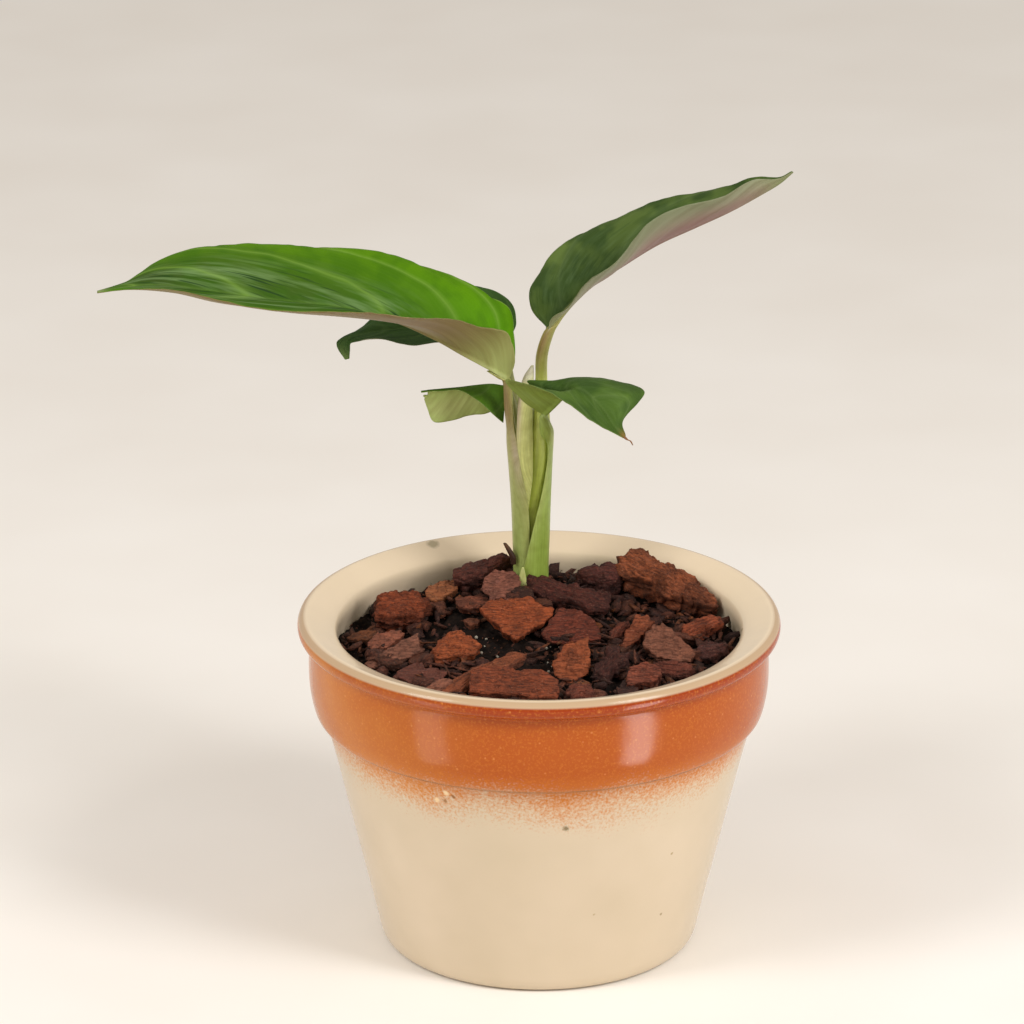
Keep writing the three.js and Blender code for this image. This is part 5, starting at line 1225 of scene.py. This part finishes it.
def leafUpperMaterial(name, look):
    # velvety upper face: fully matt green with soft pale side veins, each with painted shade on one side, and
    # in places brushed with dark strokes and pale feathers that run along the veins
    material = startMaterial("velvet leaf upper face, " + name)
    tint = addNode(material, "Attribute", {"attribute_name": "tint"}).outputs["Color"]
    brush = addNode(material, "Attribute", {"attribute_name": "brush"}).outputs["Fac"]
    place = addNode(material, "Attribute", {"attribute_name": "blade"}).outputs["Vector"]
    brushed = addNode(material, "Attribute", {"attribute_name": "stroke"}).outputs["Vector"]
    parts = addNode(material, "SeparateXYZ", {}, {"Vector": place})
    vein, across, distance = (parts.outputs[axis] for axis in "XYZ")
    surface = addNode(material, "TexCoord").outputs["Object"]
    wobble, blotch, velvet = (
        addNode(material, "TexNoise", {}, {"Vector": surface, "Scale": 1 / (bladePattern[cell] * mm),
                                           "Detail": detail}).outputs["Fac"]
        for cell, detail in (("wobbleCell", 1.0), ("blotch", 2.0), ("velvet", 2.0)))
    strokePlace, featherPlace = (addNode(material, "VectorMath", {"operation": "MULTIPLY"},
                                         {0: brushed, 1: bladePattern[scale]}).outputs[0]
                                 for scale in ("strokeScale", "featherScale"))
    # darker blotches, and painted shade on one side of each side vein, where the blade domes between them
    blotchShare = addNode(material, "MapRange", {}, {"Value": blotch, "From Min": 0.42, "From Max": 0.62,
                                                     "To Min": 0.0, "To Max": look["patches"]}).outputs[0]
    shifted = addNode(material, "Math", {"operation": "MULTIPLY_ADD"},
                      {0: wobble, 1: bladePattern["wobble"], 2: vein}).outputs[0]
    counted = addNode(material, "Math", {"operation": "MULTIPLY_ADD"},
                      {0: shifted, 1: look["veins"], 2: look["phase"]}).outputs[0]
    cycle = addNode(material, "Math", {"operation": "FRACT"}, {0: counted}).outputs[0]
    veinShade = addNode(material, "ValToRGB", {}, {"Fac": cycle},
                        [(0.0, "#8A8A8A"), (0.3, "#000000")]).outputs[0]
    # strokes and feathers, only where the blade is brushed
    strokes = addNode(material, "TexNoise", {}, {"Vector": strokePlace, "Scale": 1.0,
                                                 "Detail": 1.0}).outputs["Fac"]
    feathers = addNode(material, "TexNoise", {}, {"Vector": featherPlace, "Scale": 1.0, "Detail": 3.0,
                                                  "Roughness": 0.6}).outputs["Fac"]
    strokeRange = addNode(material, "MapRange", {}, {"Value": strokes, "From Min": 0.58, "From Max": 0.66,
                                                     "To Min": 0.0, "To Max": 0.9}).outputs[0]
    featherRange = addNode(material, "MapRange", {}, {"Value": feathers, "From Min": 0.45, "From Max": 0.68,
                                                      "To Min": 0.0, "To Max": 0.6}).outputs[0]
    strokeShare, featherShare = (
        addNode(material, "Math", {"operation": "MULTIPLY"}, {0: share, 1: brush}).outputs[0]
        for share in (strokeRange, featherRange))
    # the side veins as a halo and a line, fine veins between them, the midrib and the rim
    main = addNode(material, "Math", {"operation": "PINGPONG"}, {0: counted, 1: 0.5}).outputs[0]
    halo = addNode(material, "MapRange", {"interpolation_type": "SMOOTHSTEP"},
                   {"Value": main, "From Min": 0.0, "From Max": 0.14, "To Min": look["halo"],
                    "To Max": 0.0}).outputs[0]
    line = addNode(material, "MapRange", {}, {"Value": main, "From Min": 0.008, "From Max": 0.035,
                                              "To Min": look["line"], "To Max": 0.0}).outputs[0]
    many = addNode(material, "Math", {"operation": "MULTIPLY"},
                   {0: shifted, 1: bladePattern["fineVeins"]}).outputs[0]
    fine = addNode(material, "Math", {"operation": "PINGPONG"}, {0: many, 1: 0.5}).outputs[0]
    fineLine = addNode(material, "MapRange", {}, {"Value": fine, "From Min": 0.05, "From Max": 0.3,
                                                  "To Min": look["fine"], "To Max": 0.0}).outputs[0]
    away, outward = (addNode(material, "Math", {"operation": "ABSOLUTE"}, {0: value}).outputs[0]
                     for value in (distance, across))
    rib = addNode(material, "MapRange", {}, {"Value": away, "From Min": 0.25, "From Max": 0.7,
                                             "To Min": look["midrib"], "To Max": 0.0}).outputs[0]
    rim = addNode(material, "MapRange", {}, {"Value": outward, "From Min": 0.98, "From Max": 0.992,
                                             "To Min": 0.0, "To Max": 0.55}).outputs[0]
    colour = tint
    for share, tone in ((blotchShare, "shade"), (veinShade, "shade"), (featherShare, "feather"),
                        (strokeShare, "stroke"), (halo, "vein"), (line, "vein"), (fineLine, "vein"),
                        (rib, "vein"), (rim, "vein")):
        colour = addNode(material, "MixRGB", {}, {"Fac": share, "Color1": colour,
                                                  "Color2": linear(look[tone])}).outputs[0]
    bump = addNode(material, "Bump", {}, {"Strength": 0.25, "Distance": 0.12 * mm,
                                          "Height": fine}).outputs[0]
    bump = addNode(material, "Bump", {}, {"Strength": 0.25, "Distance": 0.05 * mm, "Height": velvet,
                                          "Normal": bump}).outputs[0]
    return closeMaterial(material, {"Roughness": 0.6, "IOR": 1.4, "Specular IOR Level": 0.08}, colour, bump)


def leafUnderMaterial(name, look):
    # underside: paler and smoother than above, faintly mottled along the raised fine veins
    material = startMaterial("velvet leaf underside, " + name)
    tint = addNode(material, "Attribute", {"attribute_name": "tint"}).outputs["Color"]
    place = addNode(material, "Attribute", {"attribute_name": "blade"}).outputs["Vector"]
    vein = addNode(material, "SeparateXYZ", {}, {"Vector": place}).outputs["X"]
    scaled = addNode(material, "VectorMath", {"operation": "MULTIPLY"},
                     {0: place, 1: bladePattern["underScale"]}).outputs[0]
    mottle = addNode(material, "TexNoise", {}, {"Vector": scaled, "Scale": 1.0,
                                                "Detail": 3.0}).outputs["Fac"]
    tone = addNode(material, "ValToRGB", {}, {"Fac": mottle},
                   [(0.3, "#DAD0C4"), (0.7, "#FFFFFF")]).outputs[0]
    colour = addNode(material, "MixRGB", {"blend_type": "MULTIPLY"}, {"Fac": 0.8, "Color1": tint,
                                                                      "Color2": tone}).outputs[0]
    many = addNode(material, "Math", {"operation": "MULTIPLY"},
                   {0: vein, 1: bladePattern["fineVeins"]}).outputs[0]
    fine = addNode(material, "Math", {"operation": "PINGPONG"}, {0: many, 1: 0.5}).outputs[0]
    fineShare = addNode(material, "MapRange", {}, {"Value": fine, "From Min": 0.02, "From Max": 0.3,
                                                   "To Min": 0.1, "To Max": 0.0}).outputs[0]
    colour = addNode(material, "MixRGB", {}, {"Fac": fineShare, "Color1": colour,
                                              "Color2": linear(look["vein"])}).outputs[0]
    bump = addNode(material, "Bump", {"invert": True}, {"Strength": 0.3, "Distance": 0.1 * mm,
                                                        "Height": fine}).outputs[0]
    return closeMaterial(material, {"Roughness": 0.5, "IOR": 1.4, "Specular IOR Level": 0.35}, colour, bump)


for name, leaf in leaves.items():
    look = bladeLooks[name]
    buildLeaf(name, leaf, [leafUpperMaterial(name, look), leafUnderMaterial(name, look)])
print("leaves unrolled")


# Floor and soft studio light

studio = {
    "floor": "#FAF6F0", "floorShade": "#F6F1EA", "floorClouds": 90, "floorReach": 6000,
    "world": "#FFF8F0", "worldStrength": 0.58, "aim": 100,
    # softboxes: name, azimuth, elevation, distance, size, power; glints: name, place, turn, size, power
    "softboxes": [("right", 51, 36, 1200, (360, 600), 8), ("left", -57, 36, 1200, (360, 600), 5.5)],
    "glints": [("right", (106.3, -123.5, 40), 50.9, (35, 76), 0.056),
               ("left", (-112.9, -116.6, 40), -55, (37, 76), 0.016)],
}


def buildFloor():
    # a plain pale square, matt, that reaches far past what is seen
    material = startMaterial("matt painted board")
    place = addNode(material, "TexCoord").outputs["Object"]
    cloud = addNode(material, "TexNoise", {}, {"Vector": place, "Scale": 1 / (studio["floorClouds"] * mm),
                                               "Detail": 2.0}).outputs["Fac"]
    colour = addNode(material, "ValToRGB", {}, {"Fac": cloud},
                     [(0.3, studio["floorShade"]), (0.7, studio["floor"])]).outputs[0]
    closeMaterial(material, {"Roughness": 0.9, "IOR": 1.4, "Specular IOR Level": 0.0}, colour)
    reach = studio["floorReach"] * mm
    mesh = bpy.data.meshes.new("floor")
    mesh.from_pydata([(-reach, -reach, 0), (reach, -reach, 0), (reach, reach, 0), (-reach, reach, 0)], [],
                     [(0, 1, 2, 3)])
    mesh.materials.append(material)
    floor = bpy.data.objects.new("floor", mesh)
    bpy.context.scene.collection.objects.link(floor)


def addPanel(name, at, turn, size, power):
    # rectangular light that the camera doesn't see, at a place in mm, turned by three angles
    light = bpy.data.lights.new(name, "AREA")
    light.shape = "RECTANGLE"
    light.size, light.size_y = size[0] * mm, size[1] * mm
    light.energy = power
    panel = bpy.data.objects.new(name, light)
    panel.location = [value * mm for value in at]
    panel.rotation_euler = turn
    panel.visible_camera = False
    bpy.context.scene.collection.objects.link(panel)
    return panel


def buildSoftbox(name, azimuth, elevation, distance, size, power):
    # on a sphere round the plant's middle, turned to it; azimuth 0 is towards the viewer
    a, e = math.radians(azimuth), math.radians(elevation)
    level = distance * math.cos(e)
    at = [level * math.sin(a), -level * math.cos(a), studio["aim"] + distance * math.sin(e)]
    addPanel("softbox_" + name, at, (math.radians(90 - elevation), 0, a), size, power)


def buildGlint(name, at, turn, size, power):
    # stands on the floor beside the pot and shows only as a soft pane in the glaze of its upright collar
    panel = addPanel("glint_" + name, at, (math.pi / 2, 0, math.radians(turn)), size, power)
    panel.visible_diffuse = False


buildFloor()
for softbox in studio["softboxes"]:
    buildSoftbox(*softbox)
for glint in studio["glints"]:
    buildGlint(*glint)
world = bpy.data.worlds.new("studio")
world.use_nodes = True
background = world.node_tree.nodes["Background"]
background.inputs["Color"].default_value = linear(studio["world"])
background.inputs["Strength"].default_value = studio["worldStrength"]
bpy.context.scene.world = world
print("studio lit")
